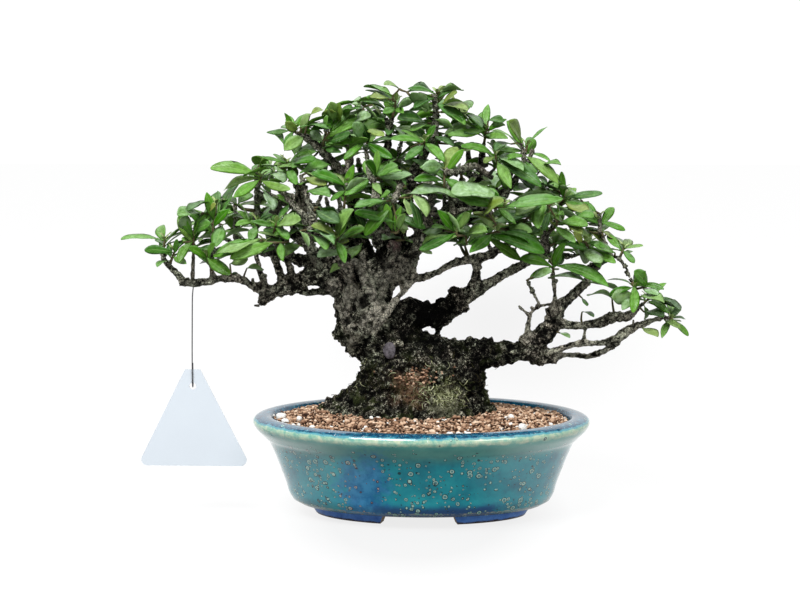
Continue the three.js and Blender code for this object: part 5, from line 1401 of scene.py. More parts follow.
def seen_shape(seen, real, width, look, to_eye, along, rng):
    """Where a leaf's upper side faces, and its width share, for the width that the photograph shows."""
    share = rng.uniform(0.40, 0.52)
    wanted = width * MM_PER_PIXEL if width else seen * rng.uniform(0.34, 0.52)
    open_share = min(1.0, max(0.12, wanted / (real * share)))
    turned = np.cross(along, to_eye)
    turned *= math.copysign(math.sqrt(1 - open_share ** 2), turned[2])
    under = look == "pale" and rng.random() < 0.6
    return turned + to_eye * (-open_share if under else open_share), max(share, min(0.8, wanted / real))


def make_photo_leaves(region, rows, wood, materials):
    """The leaves of one table, each on the wood nearest behind its foot and as long as it is seen."""
    skin = Skin()
    rng = np.random.default_rng(len(region) * 31 + len(rows))
    for foot_x, foot_y, tip_x, tip_y, width, look in rows:
        eye, way = sight(foot_x, foot_y)
        carrier, base = wood.nearest(eye, way)
        join_to_wood(skin, wood, base, carrier, rng)
        seen = math.hypot(tip_x - foot_x, tip_y - foot_y) * MM_PER_PIXEL
        real = max(seen * 1.04, min(24, seen * 1.45))
        forward = math.sqrt(real ** 2 - seen ** 2) * (-1 if rng.random() < 0.72 else 0.8)
        reach = np.dot(base - eye, way) + forward
        eye, way = sight(tip_x, tip_y)
        tip = eye + way * reach
        along = unit(tip - base)
        to_eye = unit(-way + along * np.dot(way, along))
        facing, share = seen_shape(seen, real, width, look, to_eye, along, rng)
        tone, olive, pale = LEAF_LOOKS[look]
        tone = min(1, max(0, rng.normal(tone, 0.07)))
        shades = (tone, olive * rng.uniform(0.6, 1.1), pale * rng.uniform(0.7, 1.2))
        add_leaf(skin, base, tip, facing, share, shades, rng)
    skin.piece("foliage_" + region, materials, "leaf")


def inside(corners, x, y):
    """Whether a point lies in a closed outline."""
    crossings = 0
    for (ax, ay), (bx, by) in zip(corners, corners[1:] + corners[:1]):
        if (ay > y) != (by > y) and x < ax + (bx - ax) * (y - ay) / (by - ay):
            crossings += 1
    return crossings % 2 == 1


def add_inner_shoot(skin, wood, px, py, rng):
    """A small dark shoot whose end lies behind a pixel, on a twig from the wood near it."""
    eye, way = sight(px, py)
    end = eye + way * ((rng.uniform(*INNER_DEPTHS) - eye[1]) / way[1])
    carrier = wood.below(end)
    gap = end - carrier[:3]
    shortest, longest = INNER_TWIG_LENGTHS
    if not shortest <= np.linalg.norm(gap) <= longest:
        return
    middle = carrier[:3] + gap * 0.5 + rng.normal(size=3) * 1.5
    thick = min(1.3, carrier[3] * 0.7)
    add_stalk(skin, catmull([[*carrier[:3], thick], [*middle, 0.8 * thick], [*end, 0.6]], every(3.0)), 6)
    turn = rng.uniform(0, FULL_TURN)
    for _ in range(INNER_LEAVES):
        turn += 2.4
        rise = rng.uniform(-0.35, 0.6)
        length = rng.uniform(13, 25)
        out = np.array([math.cos(turn) * math.cos(rise), math.sin(turn) * math.cos(rise), math.sin(rise)])
        tip = end + length * out
        if inside(CROWN_OUTLINE, *pixel(tip)):
            facing = np.array([0, 0, 1]) + rng.normal(size=3) * 0.35
            add_leaf(skin, end, tip, facing, rng.uniform(0.34, 0.44), leaf_look(INNER_TONE, rng), rng)


def make_inner_shoots(wood, materials):
    """Small dark shoots that fill the crown behind the leaves in front, within its outline."""
    rng = np.random.default_rng(4242)
    for name, on_right in (("inner_left", False), ("inner_right", True)):
        skin = Skin()
        made = 0
        while made < INNER_SHOOTS:
            px, py = rng.uniform(*INNER_ACROSS), rng.uniform(*INNER_DOWN)
            if (px > PHOTO_WIDTH / 2) == on_right and inside(CROWN_OUTLINE, px, py):
                made += 1
                add_inner_shoot(skin, wood, px, py, rng)
        skin.piece(name, materials, "leaf")


def add_inner_twigs(skin, wood):
    """Knobby twigs between the leaves, rooted in the wood behind them and leaning to the wood above."""
    rng = np.random.default_rng(88)
    grown = []
    for number, (radius, *seen) in enumerate(INNER_TWIGS):
        eye, way = sight(*seen[0])
        carrier, base = wood.nearest(eye, way)
        reach = float(np.dot(base - eye, way))
        rows = [[*carrier[:3], radius]]
        for px, py in seen:
            eye, way = sight(px, py)
            wooded = float(np.dot(wood.nearest(eye, way)[1] - eye, way))
            reach += float(np.clip(wooded - reach, *TWIG_LEAN)) + rng.uniform(-1.0, 1.0)
            rows.append([*(eye + way * reach), radius])
        line = catmull(rows, every(1.5))
        for i, row in enumerate(line):
            row[3] *= (1.1 - 0.45 * i / len(line)) * (1 + 0.35 * (i % 4 == 1) + 0.15 * rng.normal())
        skin.ring_loft(tube_rings(line, 9, 0.3, 700 + 31 * number))
        grown.append(line)
    wood.add(np.vstack(grown))


def add_spurs(skin):
    """The short pruned spurs along the thinner branches."""
    rng = np.random.default_rng(77)
    for rows in BRANCHES.values():
        for *middle, z, radius in catmull(rows, every(2.5))[2:]:
            if radius > SPUR_BRANCH or z < SPURS_FROM or rng.random() > SPUR_SHARE:
                continue
            way = rng.normal(size=3)
            way[2] = abs(way[2]) * 0.8
            way = unit(way)
            reach = radius + rng.uniform(0.5, 2.6)
            stout = rng.uniform(0.7, 1.5)
            steps = ((radius * 0.5, 1.3), (radius + 0.2, 1.0), (reach, 0.8), (reach + 0.3, 0.4))
            stub = [[*(np.array([*middle, z]) + way * d), stout * r] for d, r in steps]
            skin.ring_loft(tube_rings(stub, 7, 0.35, int(rng.integers(9999))))


def make_twigs(material, wood):
    """The knobby twigs, the thin wood from branch to shoot, the spurs and the rim of the cut end."""
    skin = Skin()
    add_inner_twigs(skin, wood)
    for number, row in enumerate(SPRAYS):
        line = catmull(shoot_line(row)[0], every(1.7))
        for i, ring in enumerate(line):
            ring[3] *= 1 + 0.22 * (i % 3 == 1)
        skin.ring_loft(tube_rings(line, 8, 0.25, 900 + 37 * number))
    add_spurs(skin)
    x, y, z, ring_radius, tube = CUT_RING
    circle = [[x + ring_radius * math.cos(a), y, z + ring_radius * math.sin(a), tube]
              for a in np.linspace(0, 2 * math.pi, 15)]
    skin.ring_loft(tube_rings(circle, 7, 0.15, 3))
    twigs = skin.piece("twigs", [material], "bark")
    # The twigs' thickness makes the bark paint them lighter, as light.
    for name, value in (("relief", 0), ("thick", TWIG_THICK), ("pale", 0), ("hollow", 0)):
        point_attribute(twigs, name, np.full(len(skin.points), value))


# Pot
def outline(angle, inset, z):
    """A point of the pot's oval, moved in from it."""
    nx = POT_HALF_DEPTH * math.cos(angle)
    ny = POT_HALF_LENGTH * math.sin(angle)
    norm = math.hypot(nx, ny)
    return (POT_HALF_LENGTH * math.cos(angle) - inset * nx / norm,
            POT_HALF_DEPTH * math.sin(angle) - inset * ny / norm, z)


def full_circle(count):
    return [2 * math.pi * k / count for k in range(count)]


def drill_drains(body):
    """Cuts the two drain holes through the pot's floor."""
    for x in (-DRAIN_X, DRAIN_X):
        bpy.ops.mesh.primitive_cylinder_add(vertices=DRAIN_AROUND, radius=DRAIN_RADIUS * MM,
                                            depth=DRILL_LENGTH * MM, location=place([x, 0, DRILL_MIDDLE]))
        drill = bpy.context.active_object
        cut = body.modifiers.new("drain", "BOOLEAN")
        cut.operation = "DIFFERENCE"
        cut.solver = "EXACT"
        cut.object = drill
        evaluated = body.evaluated_get(bpy.context.evaluated_depsgraph_get())
        drilled = bpy.data.meshes.new_from_object(evaluated)
        body.modifiers.clear()
        body.data = drilled
        bpy.data.objects.remove(drill)


def make_pot(glaze, foot_glaze, clay):
    """The pot with rounded rim and wall, glazed outside and down to the soil, and its four bracket feet."""
    wall = catmull([[*p, 0] for p in POT_PROFILE[1:-1]], every(1.3))[:, :2].tolist()
    profile = [POT_PROFILE[0], *wall, POT_PROFILE[-1]]
    top = max(range(len(profile)), key=lambda i: profile[i][1])

    def look(count, n):
        rows = [min(i // n, len(profile) - 1) for i in range(count)]
        bare = [row > top and profile[row][1] < GLAZED_INSIDE_FROM for row in rows]
        return [int(unglazed or i >= count - CAPS) for i, unglazed in enumerate(bare)]

    skin = Skin()
    skin.ring_loft([[outline(a, inset, z) for a in full_circle(POT_AROUND)] for inset, z in profile], look)
    body = skin.piece("pot_body", [glaze, clay], "glaze")
    drill_drains(body)
    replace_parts(body, "pot")
    feet = Skin()
    for mirror_x, mirror_y in ((1, 1), (1, -1), (-1, 1), (-1, -1)):
        rings = []
        for s in range(FOOT_STEPS + 1):
            ring = []
            for inset, z, ground in foot_section():
                start, end = (a + ground * (b - a) for a, b in zip(*FOOT_SPAN))
                x, y, _ = outline(math.radians(start + (end - start) * s / FOOT_STEPS), inset, z)
                ring.append((x * mirror_x, y * mirror_y, z))
            rings.append(ring if mirror_x * mirror_y > 0 else ring[::-1])
        feet.ring_loft(rings, lambda count, n: [0] * (count - CAPS) + [1] * CAPS)
    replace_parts(feet.piece("pot_feet", [foot_glaze, clay], "glaze"), "pot")


def foot_section():
    """The foot's section, with round ground edges: inset, height and how far it is to the ground's span."""
    a, b, c, d = FOOT_SECTION
    rows = [(a[0], a[1], 0.0)]
    rows.extend((a[0] + (b[0] - a[0]) * t, a[1] * (1 - t), t) for t in (0.3, 0.6, 0.85))
    ground = ((b[0] + 0.1, 0.45), (b[0] + 0.9, 0.0), (c[0] - 0.9, 0.0), (c[0] - 0.1, 0.45))
    rows.extend((inset, z, 1.0) for inset, z in ground)
    rows.extend([(d[0] + 1.5, 4.5, 0.5), (d[0], d[1], 0.0)])
    return rows


# Soil
def trunk_edge(x, y, extra=0.0):
    """The trunk's outline at the soil, in the direction of a point of the soil."""
    angle = math.atan2((y - FLARE_Y) / FLARE_DEPTH, (x - FLARE_X) / FLARE_WIDTH)
    f = ridges(angle)
    return (FLARE_X + (FLARE_WIDTH * f + extra) * math.cos(angle),
            FLARE_Y + (FLARE_DEPTH * f + extra) * math.sin(angle))


def soil_height(x, y):
    """The soil's surface: from the pot's edge up towards the trunk."""
    edge = math.hypot(x / (POT_HALF_LENGTH - SOIL_INSET), y / (POT_HALF_DEPTH - SOIL_INSET))
    near = math.hypot((x - FLARE_X) / FLARE_WIDTH, (y - FLARE_Y) / FLARE_DEPTH)
    t = min(1.0, max(0.0, (1 - edge) / max(1e-3, (1 - edge) + max(0.0, near - 1))))
    return SOIL_EDGE - 0.5 + (SOIL_AT_TRUNK - SOIL_EDGE) * math.sin(t * math.pi / 2)


def make_soil(bed_material, akadama):
    """The bed from the pot's floor up, with a hole for the roots, and the grains on it."""
    turns = full_circle(SOIL_AROUND)
    rings = [[outline(a, inset + 2 * GAP, z) for a in turns] for inset, z in SOIL_WALL]
    for t in (0.25, 0.5, 0.75, 1.0):
        ring = []
        for a in turns:
            ox, oy, _ = outline(a, SOIL_INSET + 0.4, 0)
            hx, hy = trunk_edge(ox, oy, 0.4)
            x, y = ox + (hx - ox) * t, oy + (hy - oy) * t
            ripple = noise.noise(Vector((x / 5, y / 5, 0))) * 0.8 * (t < 1)
            ring.append((x, y, soil_height(x, y) - 0.6 + ripple))
        rings.append(ring)
    rings.append([(x, y, ROOT_BOTTOM - GAP) for x, y, _ in rings[-1]])
    skin = Skin()
    skin.ring_loft(rings)
    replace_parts(skin.piece("soil_bed", [bed_material], "soil"), "soil")
    make_grains(akadama)


def soil_spot(px, py):
    """Where the camera's view through a pixel of the photograph meets the soil."""
    eye, way = sight(px, py)
    z = SOIL_EDGE
    for _ in range(6):
        x, y, _ = eye + way * ((z - eye[2]) / way[2])
        z = soil_height(x, y)
    return x, y


class Grains:
    """Rounded lumps gathered into one piece, each with its own roughness, turn and tone, and, for the clay
    grains, shade painted on the underside.
    """

    def __init__(self):
        self.points = []
        self.faces = []
        self.tones = []
        bpy.ops.mesh.primitive_ico_sphere_add(subdivisions=2, radius=1)
        ball = bpy.context.active_object
        self.ball_points = np.array([v.co[:] for v in ball.data.vertices])
        self.ball_faces = [tuple(p.vertices) for p in ball.data.polygons]
        bpy.data.objects.remove(ball)

    def add(self, where, axes, tone, rng):
        turn = Matrix.Rotation(rng.uniform(0, FULL_TURN), 3, "Z")
        turn = turn @ Matrix.Rotation(rng.uniform(-0.7, 0.7), 3, "X")
        shift = Vector(where)
        rough = np.array([1 + 0.34 * noise.noise(Vector(p * 1.5) + shift) for p in self.ball_points])
        shape = (self.ball_points * rough[:, None] * axes) @ np.array(turn).T
        start = len(self.points)
        self.points.extend((shape + np.array(where)).tolist())
        self.faces.extend(tuple(start + i for i in f) for f in self.ball_faces)
        # Painted shade: a clay grain's tone falls towards its underside; the white pumice keeps its tone.
        painted_shade_tone = tone if tone > WHITE_FROM else tone - UNDERSIDE_PAINTED_SHADE
        self.tones.extend(painted_shade_tone + (tone - painted_shade_tone) * np.clip(0.5 + 0.9 * self.ball_points[:, 2], 0, 1))

    def piece(self, name, material):
        piece = add_piece(name, self.points, self.faces, [material])
        point_attribute(piece, "tone", self.tones)
        return piece


def grain_spots(rng):
    """Places all over the soil, a third of them with a second grain on top."""
    spots = []
    for x in np.arange(-POT_HALF_LENGTH, POT_HALF_LENGTH, GRAIN_SPACING):
        for y in np.arange(-POT_HALF_DEPTH, POT_HALF_DEPTH, GRAIN_SPACING):
            px, py = x + rng.uniform(-0.7, 0.7), y + rng.uniform(-0.7, 0.7)
            edge = math.hypot(px / (POT_HALF_LENGTH - GRAINS_INSET), py / (POT_HALF_DEPTH - GRAINS_INSET))
            hx, hy = trunk_edge(px, py)
            if edge < 1 and math.hypot(px - FLARE_X, py) > math.hypot(hx - FLARE_X, hy) - 1.5:
                spots.append((px, py, 0.0))
                if rng.random() < 0.33:
                    spots.append((px + rng.uniform(-1, 1), py + rng.uniform(-1, 1), rng.uniform(0.6, 1.3)))
    return spots


def make_grains(akadama):
    """The grains in two pieces, left and right of the trunk's middle, and the pumice among them."""
    rng = np.random.default_rng(11)
    spots = grain_spots(rng)
    pumice = [(*soil_spot(px, py), size) for px, py, size in PUMICE]
    for name, on_right in (("grains_left", False), ("grains_right", True)):
        grains = Grains()
        for x, y, lift in (s for s in spots if (s[0] > FLARE_X) == on_right):
            size = rng.uniform(0.6, 1.25) if rng.random() > 0.10 else rng.uniform(1.3, 2.1)
            axes = size * np.array([rng.uniform(0.75, 1.45), rng.uniform(0.6, 1.1), rng.uniform(0.5, 0.9)])
            white = rng.random() < 0.03
            tone = WHITE_TONE if white else float(np.clip(rng.normal(0.58, 0.26), 0, 1))
            grains.add((x, y, soil_height(x, y) + lift + 0.1), axes, tone, rng)
        for x, y, size in (p for p in pumice if (p[0] > FLARE_X) == on_right):
            grains.add((x, y, soil_height(x, y) + 0.6 * size), size * FLAT_GRAIN, WHITE_TONE, rng)
        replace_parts(grains.piece(name, akadama), "soil")


# Materials
def plain_material(name):
    """One noise through a ramp of colours, with a fine relief."""
    constants, colour_noise, stops, relief_noise, relief_size = PLAIN_MATERIALS[name]
    s = Shader(name, **constants)
    return s.finish(s.ramp(s.noise(*colour_noise), stops), s.bump(s.noise(*relief_noise), *relief_size))


def glaze_material():
    """Teal below and sea green above with a cream edge, patches, crystals and a dark blue lip."""
    s = Shader("glaze", Roughness=0.09, IOR=1.5, Coat_Weight=0.5, Coat_IOR=1.55, Coat_Roughness=0.1)
    x, y, z = (s.axis(name) for name in "XYZ")
    mottle = s.noise(55, 5, 0.66)
    fine = s.noise(420, 3, 0.6)
    teal = s.ramp(mottle, [
        (0.3, (0.003, 0.145, 0.210)), (0.5, (0.005, 0.255, 0.315)), (0.72, (0.018, 0.350, 0.390)),
    ])
    upper = s.ramp(mottle, [(0.3, (0.050, 0.26, 0.24)), (0.7, (0.11, 0.37, 0.31))])
    wander = s.wander(34, 3, 0.6, 9.0)
    level = z + wander
    colour = s.mix(s.range(level, *GLAZE_UPPER, smooth=True), teal, upper)
    edge_z = z + (s.wander(140, 4, 0.65, 3.2) + wander * 0.12)
    cream = s.ramp(s.noise(190, 5, 0.7), [
        (0.36, (0.16, 0.40, 0.32)), (0.5, (0.36, 0.53, 0.38)), (0.66, (0.62, 0.65, 0.46)),
    ])
    colour = s.mix(s.range(edge_z, *GLAZE_CREAM, smooth=True) * 0.86, colour, cream)
    colour = s.mix(s.range(edge_z, *GLAZE_RIM, 0, 0.8, True), colour, rgb(0.02, 0.24, 0.34))
    colour, patch = add_glaze_patches(s, colour, x, z, level)
    outwards = s.math("SQRT", (x / float(POT_HALF_LENGTH)) ** 2.0 + (y / float(POT_HALF_DEPTH)) ** 2.0)
    within = s.range(outwards, 0.93, 0.955, 1, 0, True) * s.range(z, 60.5, 62)
    lip = s.math("MAXIMUM", s.range(edge_z, *GLAZE_LIP, smooth=True), within)
    colour = s.mix(lip, colour, s.ramp(fine, [
        (0.38, (0.004, 0.038, 0.085)), (0.6, (0.010, 0.11, 0.19)), (0.7, (0.06, 0.24, 0.32)),
    ]))
    specks = s.range(s.noise(800, 3, 0.6), 0.66, 0.70) * s.range(z, 57, 61)
    colour = s.mix(specks * 0.8, colour, rgb(0.72, 0.78, 0.76))
    colour, crystals = add_crystals(s, colour, patch)
    rough = s.range(fine, 0.3, 0.7, 0.05, 0.13) + crystals * 0.22
    ripple = s.bump(s.noise(30, 2, 0.5), 0.0012, 0.35)
    return s.finish(colour, s.bump(crystals, 0.0002, 0.6, Normal=ripple), Roughness=rough)


def add_glaze_patches(s, colour, x, z, level):
    """The blue run on the front's left, the navy pool low in the middle and the cream line above the feet.

    Gives the colour back, and where the blue run is.
    """
    ragged = s.wander(40, 4, 0.7, 30.0) + s.wander(200, 4, 0.75, 36.0)
    patch_x = x + ragged
    patch = s.band(patch_x, (-55, -40), (-29, -14), True) * s.range(z + ragged, 36, 60, 1, 0, True)
    colour = s.mix(patch * 0.75, colour, s.ramp(s.noise(150, 4, 0.7), [
        (0.38, (0.008, 0.11, 0.32)), (0.6, (0.045, 0.24, 0.50)),
    ]))
    pool = s.band(patch_x, (-40, -16), (46, 62), True) * s.range(level, 13, 19, 1, 0, True)
    colour = s.mix(pool * 0.9, colour, rgb(0.008, 0.050, 0.19))
    broken = s.range(s.noise(260, 4, 0.7), 0.42, 0.56)
    line = s.band(z + s.wander(120, 3, 0.6, 1.6), (9.4, 10.1), (10.5, 11.2))
    return s.mix(line * (broken * 0.75), colour, rgb(0.46, 0.46, 0.34)), patch


def add_crystals(s, colour, patch):
    """Small ring-shaped crystals in clusters: a pale ring round a darker middle, with a dark outline.

    Gives the colour back, and where the pale rings are.
    """
    below_lip = s.range(s.axis("Z"), 46, 56, 1, 0.05, True)
    cluster = s.range(s.noise(30, 3, 0.6), 0.40, 0.56, 0.14, 1.0) * below_lip
    edge = s.mix(patch, rgb(0.003, 0.030, 0.042), rgb(0.035, 0.020, 0.035))
    pale = s.mix(patch, rgb(0.46, 0.70, 0.60), rgb(0.50, 0.42, 0.40))
    dark = rgb(0.03, 0.17, 0.20)
    rings = 0.0
    for scale, share in CRYSTALS:
        warp = s.shifted(300, 0.0007)
        distance = s.cells(scale, warp)
        chance = s.node("ShaderNodeSeparateColor", {0: s.cells(scale, warp, out="Color")}, "Red")
        chosen = s.math("LESS_THAN", chance, cluster * share)
        discs = [s.range(distance, full, full + 0.03, 1, 0) * chosen for full in (0.36, 0.27, 0.18)]
        for disc, strength, tone in zip(discs, (0.95, 0.85, 0.9), (edge, pale, dark)):
            colour = s.mix(disc * strength, colour, tone)
        rings = s.math("MAXIMUM", rings, discs[1])
    return colour, rings


def foot_material():
    """Blue glaze on the feet, brown at the ground and cream under the wall."""
    s = Shader("foot_glaze", Roughness=0.14, IOR=1.5)
    level = s.axis("Z") + s.wander(150, 4, 0.7, 3.0)
    blue = s.ramp(s.noise(110, 5, 0.7), [(0.3, (0.035, 0.125, 0.44)), (0.7, (0.11, 0.30, 0.76))])
    brown = s.ramp(s.noise(300, 3, 0.6), [(0.3, (0.016, 0.016, 0.030)), (0.7, (0.075, 0.05, 0.045))])
    cream = s.ramp(s.noise(420, 3, 0.6), [(0.4, (0.05, 0.12, 0.17)), (0.6, (0.46, 0.44, 0.33))])
    colour = s.mix(s.range(level, 1.0, 2.2), brown, blue)
    colour = s.mix(s.range(level, 7.7, 8.5), colour, cream)
    return s.finish(colour, s.bump(s.noise(60, 3, 0.5), 0.0008, 0.4))


def grain_material():
    """Clay by each grain's tone, which holds the shade painted on the grain's underside, white for the
    pumice, with dust on both.
    """
    s = Shader("akadama", Roughness=0.92, Specular_IOR_Level=0.1)
    tone = s.attribute("tone")
    clay = s.ramp(tone, [
        (0.0, (0.030, 0.015, 0.010)), (0.25, (0.19, 0.10, 0.06)), (0.5, (0.40, 0.245, 0.155)),
        (0.75, (0.60, 0.41, 0.28)), (1.0, (0.78, 0.61, 0.46)),
    ])
    colour = s.mix(s.math("GREATER_THAN", tone, WHITE_FROM), clay, rgb(0.86, 0.85, 0.81))
    colour = s.shade(colour, s.range(s.noise(1400, 4, 0.7), 0.3, 0.7, 0.72, 1.12))
    return s.finish(colour, s.bump(s.noise(1800, 4, 0.7), 0.00035, 0.7))


def bark_level(s, warp, fine, mid, broad, plates):
    """How bright the bark is: by its grain, plates and strands, by its relief, with painted light on knobs
    and painted shade in pits, by the wood's thickness, with thin wood painted lighter as light on twigs in
    the leaves' shade, and by zones, whose dark ones paint shade under the limbs and make the trunk's foot
    darker.
    """
    thick = s.attribute("thick")
    level = mid + (0.42 - plates) * 0.26 + (fine - 0.5) * 0.40
    # Painted light and shade: the relief's mark makes knobs lighter and pits darker.
    level += s.attribute("relief") * 0.12
    level += (broad - 0.5) * 0.24
    for scale, gain in ((110, 0.13), (260, 0.11)):
        strand = s.math("ABSOLUTE", s.noise(scale, 3, 0.55, at=warp) - 0.5)
        level += s.range(strand, 0.0, 0.025, gain, -0.02)
    # Painted light: thin wood and twigs are made lighter, standing in for light on twigs in the leaves'
    # shade.
    level += s.range(thick, 1.8, 7, 0.17, 0.0)
    level += s.range(thick, 0.0, 1.0, -0.08, 0.0)
    level += s.attribute("pale") * 0.12
    # The dark zones paint shade under the limbs and make the trunk's foot darker; the pale ones are the
    # bark's colour.
    for where, reach, shift in BARK_ZONES:
        level += s.range(s.distance(warp, where), 0.0, reach * MM, shift, 0.0, True)
    return level


def bark_material():
    """Cracked bark from black to pale grey, with lichen rings, moss, patches and pale dots, and shade painted
    into its crevices and hollows.
    """
    s = Shader("bark", Roughness=0.8, Specular_IOR_Level=0.05)
    pale = s.attribute("pale")
    thick = s.attribute("thick")
    fine = s.noise(1500, 3, 0.7)
    mid = s.noise(560, 5, 0.8)
    broad = s.noise(52, 4, 0.6)
    warp = s.shifted(240, 0.0020)
    plates = s.cells(420, warp)
    bright = s.ramp(bark_level(s, warp, fine, mid, broad, plates), [
        (0.35, (0.001, 0.001, 0.001)), (0.44, (0.011, 0.010, 0.009)), (0.51, (0.058, 0.055, 0.048)),
        (0.59, (0.20, 0.19, 0.16)), (0.72, (0.62, 0.60, 0.52)),
    ])
    tint = s.mix(s.range(s.noise(70, 3, 0.6), 0.4, 0.6), rgb(1.0, 0.95, 0.88), rgb(0.90, 0.98, 0.84))
    colour = s.mix(1.0, bright, s.mix(pale, tint, rgb(0.98, 0.96, 0.90)), "MULTIPLY")
    cracks = s.range(s.cells(280, warp, "DISTANCE_TO_EDGE"), 0.02, 0.13, 0.12, 1.0)
    grain = cracks * s.range(fine, 0.36, 0.64, 0.15, 2.3)
    colour = s.shade(colour, s.blend(s.range(thick, 0.0, 5.0, 0.7, 0.0), grain, 0.6))
    rings = s.band(s.cells(170, warp), (0.16, 0.22), (0.30, 0.36)) * s.range(broad, 0.46, 0.6)
    colour = s.mix(rings * s.range(fine, 0.4, 0.6, 0, 0.6), colour, rgb(0.42, 0.44, 0.33))
    moss = s.range(s.noise(95, 4, 0.65), 0.52, 0.6) * s.range(s.axis("Z"), *MOSS_FADE)
    green = s.ramp(fine, [(0.35, (0.008, 0.013, 0.003)), (0.65, (0.11, 0.14, 0.04))])
    colour = s.mix(moss * 0.5, colour, green)
    # Painted shade: the bark is darkened in its crevices and in the hollows.
    painted_crevice_shade = s.range(s.attribute("relief"), -0.6, 0.15, 0.15, 1.0)
    colour = s.shade(colour, painted_crevice_shade * s.range(s.attribute("hollow"), 0, 1, 1, 0.06))
    colour = add_bark_patches(s, colour, mid)
    dots = s.range(s.cells(150), 0.05, 0.075, 1, 0) * s.range(s.noise(60, 2, 0.5), 0.45, 0.5)
    colour = s.mix(dots * s.range(thick, 6, 10, 0, 0.85), colour, rgb(0.66, 0.66, 0.58))
    coarse = s.bump(mid - plates * 0.5, 0.0026, 1.0)
    return s.finish(colour, s.bump(fine, 0.0009, 1.0, Normal=coarse))


def add_bark_patches(s, colour, mid):
    """The pale moss, the soil dust at the foot and the reddish cut, broken up round their own places."""
    centre = s.shifted(120, 0.010)
    grain = s.noise(900, 4, 0.75)
    for where, reach, strength, (dark, light) in BARK_PATCHES:
        near = s.range(s.distance(centre, where), reach * MM * 0.3, reach * MM, 1, 0, True)
        tones = s.mix(s.range(grain, 0.36, 0.62), rgb(*dark), rgb(*light))
        colour = s.mix(near * strength * s.range(mid, 0.40, 0.52), colour, tones)
    return colour


def fibre_material():
    """From brown by way of green to a pale straw colour, by each fibre's tone."""
    s = Shader("moss_fibres", Roughness=0.9, Specular_IOR_Level=0.1)
    colour = s.ramp(s.attribute("tone"), [
        (0.0, (0.012, 0.008, 0.005)), (0.35, (0.05, 0.045, 0.02)), (0.6, (0.16, 0.19, 0.07)),
        (1.0, (0.66, 0.68, 0.42)),
    ])
    return s.finish(colour, s.bump(s.noise(2000, 2, 0.6), 0.0001, 0.5))


def leaf_material(name):
    """Green to olive by each leaf's shares, with painted sheen from the pale share and on what faces up, a
    rib, veins and a pale rim painted as edge light.
    """
    rough, specular, relief_way, tints = LEAF_SIDES[name]
    s = Shader(name, Roughness=rough, Specular_IOR_Level=specular)
    tone, along = s.attribute("tone"), s.attribute("along")
    green = s.ramp(tone, [
        (0.0, (0.008, 0.048, 0.0005)), (0.25, (0.036, 0.158, 0.002)), (0.5, (0.090, 0.250, 0.016)),
        (0.75, (0.165, 0.305, 0.070)), (1.0, (0.34, 0.42, 0.20)),
    ])
    olive = s.ramp(tone, [
        (0.0, (0.020, 0.034, 0.005)), (0.5, (0.12, 0.165, 0.022)), (1.0, (0.34, 0.38, 0.08)),
    ])
    colour = s.mix(s.attribute("olive"), green, olive)
    upward = s.node("ShaderNodeSeparateXYZ", {0: s.node("ShaderNodeNewGeometry", out="Normal")}, "Z")
    # Painted sheen: the pale share (partly a pale underside's own colour) and surfaces that face up are
    # tinted pale grey-green.
    pale_and_painted_sheen = s.attribute("pale") * 0.8 + s.range(upward, 0.4, 1.0, 0.0, 0.26)
    pale_and_painted_sheen *= s.range(s.noise(150, 3, 0.6), 0.36, 0.58, 0.35, 1.0)
    colour = s.mix(pale_and_painted_sheen, colour, rgb(0.32, 0.42, 0.30))
    colour = s.shade(colour, s.range(s.noise(300, 4, 0.7), 0.32, 0.68, 0.68, 1.30))
    edge = s.math("ABSOLUTE", s.attribute("across"))
    rib = s.range(edge, 0.04, 0.15, 1, 0, True) * s.range(along, 0.7, 1.0, 1, 0.1)
    slant = along * 11.0 - edge * 2.6
    veins = s.range(s.math("PINGPONG", slant, 0.5), 0.0, 0.12, 1, 0, True) * s.range(edge, 0.1, 0.9, 1, 0)
    for part, strength, tint in tints:
        share = {"all": 1.0, "rib": rib, "veins": veins}[part] * strength
        colour = s.mix(share, colour, rgb(*tint))
    # Painted edge light: the blade's rim is tinted pale.
    colour = s.mix(s.range(edge, 0.84, 1.0, 0, 0.4, True), colour, rgb(0.26, 0.42, 0.15))
    return s.finish(colour, s.bump(1.0 - (rib + veins * 0.5), 0.0004, relief_way))


def plastic_material(name, colour, rough):
    """One colour with faint wear."""
    s = Shader(name, Roughness=rough, IOR=1.46)
    tint = s.shade(rgb(*colour), s.range(s.noise(30, 3, 0.5), 0.3, 0.7, 0.97, 1.0))
    return s.finish(tint, s.bump(s.noise(70, 2, 0.5), 0.0004, 0.25),
                    Roughness=s.range(s.noise(180, 3, 0.6), 0.3, 0.7, rough * 0.8, rough * 1.2))


def paint_node(name, material):
    """Gives a CAD node that stays a material."""
    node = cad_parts[name]
    node.data.materials.clear()
    node.data.materials.append(material)


# Wire
def make_wire(material):
    """The tag's hanging wire, as a thin bevelled curve."""
    curve = bpy.data.curves.new("tag_wire_line", "CURVE")
    curve.dimensions = "3D"
    curve.bevel_depth = WIRE_RADIUS * MM
    curve.bevel_resolution = 3
    curve.use_fill_caps = True
    spline = curve.splines.new("POLY")
    line = place(catmull(WIRE_ROUTE, every(1.0)))
    spline.points.add(len(line) - 1)
    for point, where in zip(spline.points, line):
        point.co = (*where, 1)
    curve.materials.append(material)
    wire = bpy.data.objects.new("hanging_wire", curve)
    bpy.context.scene.collection.objects.link(wire)
    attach(wire, "root")
    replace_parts(wire, "tag_wire")


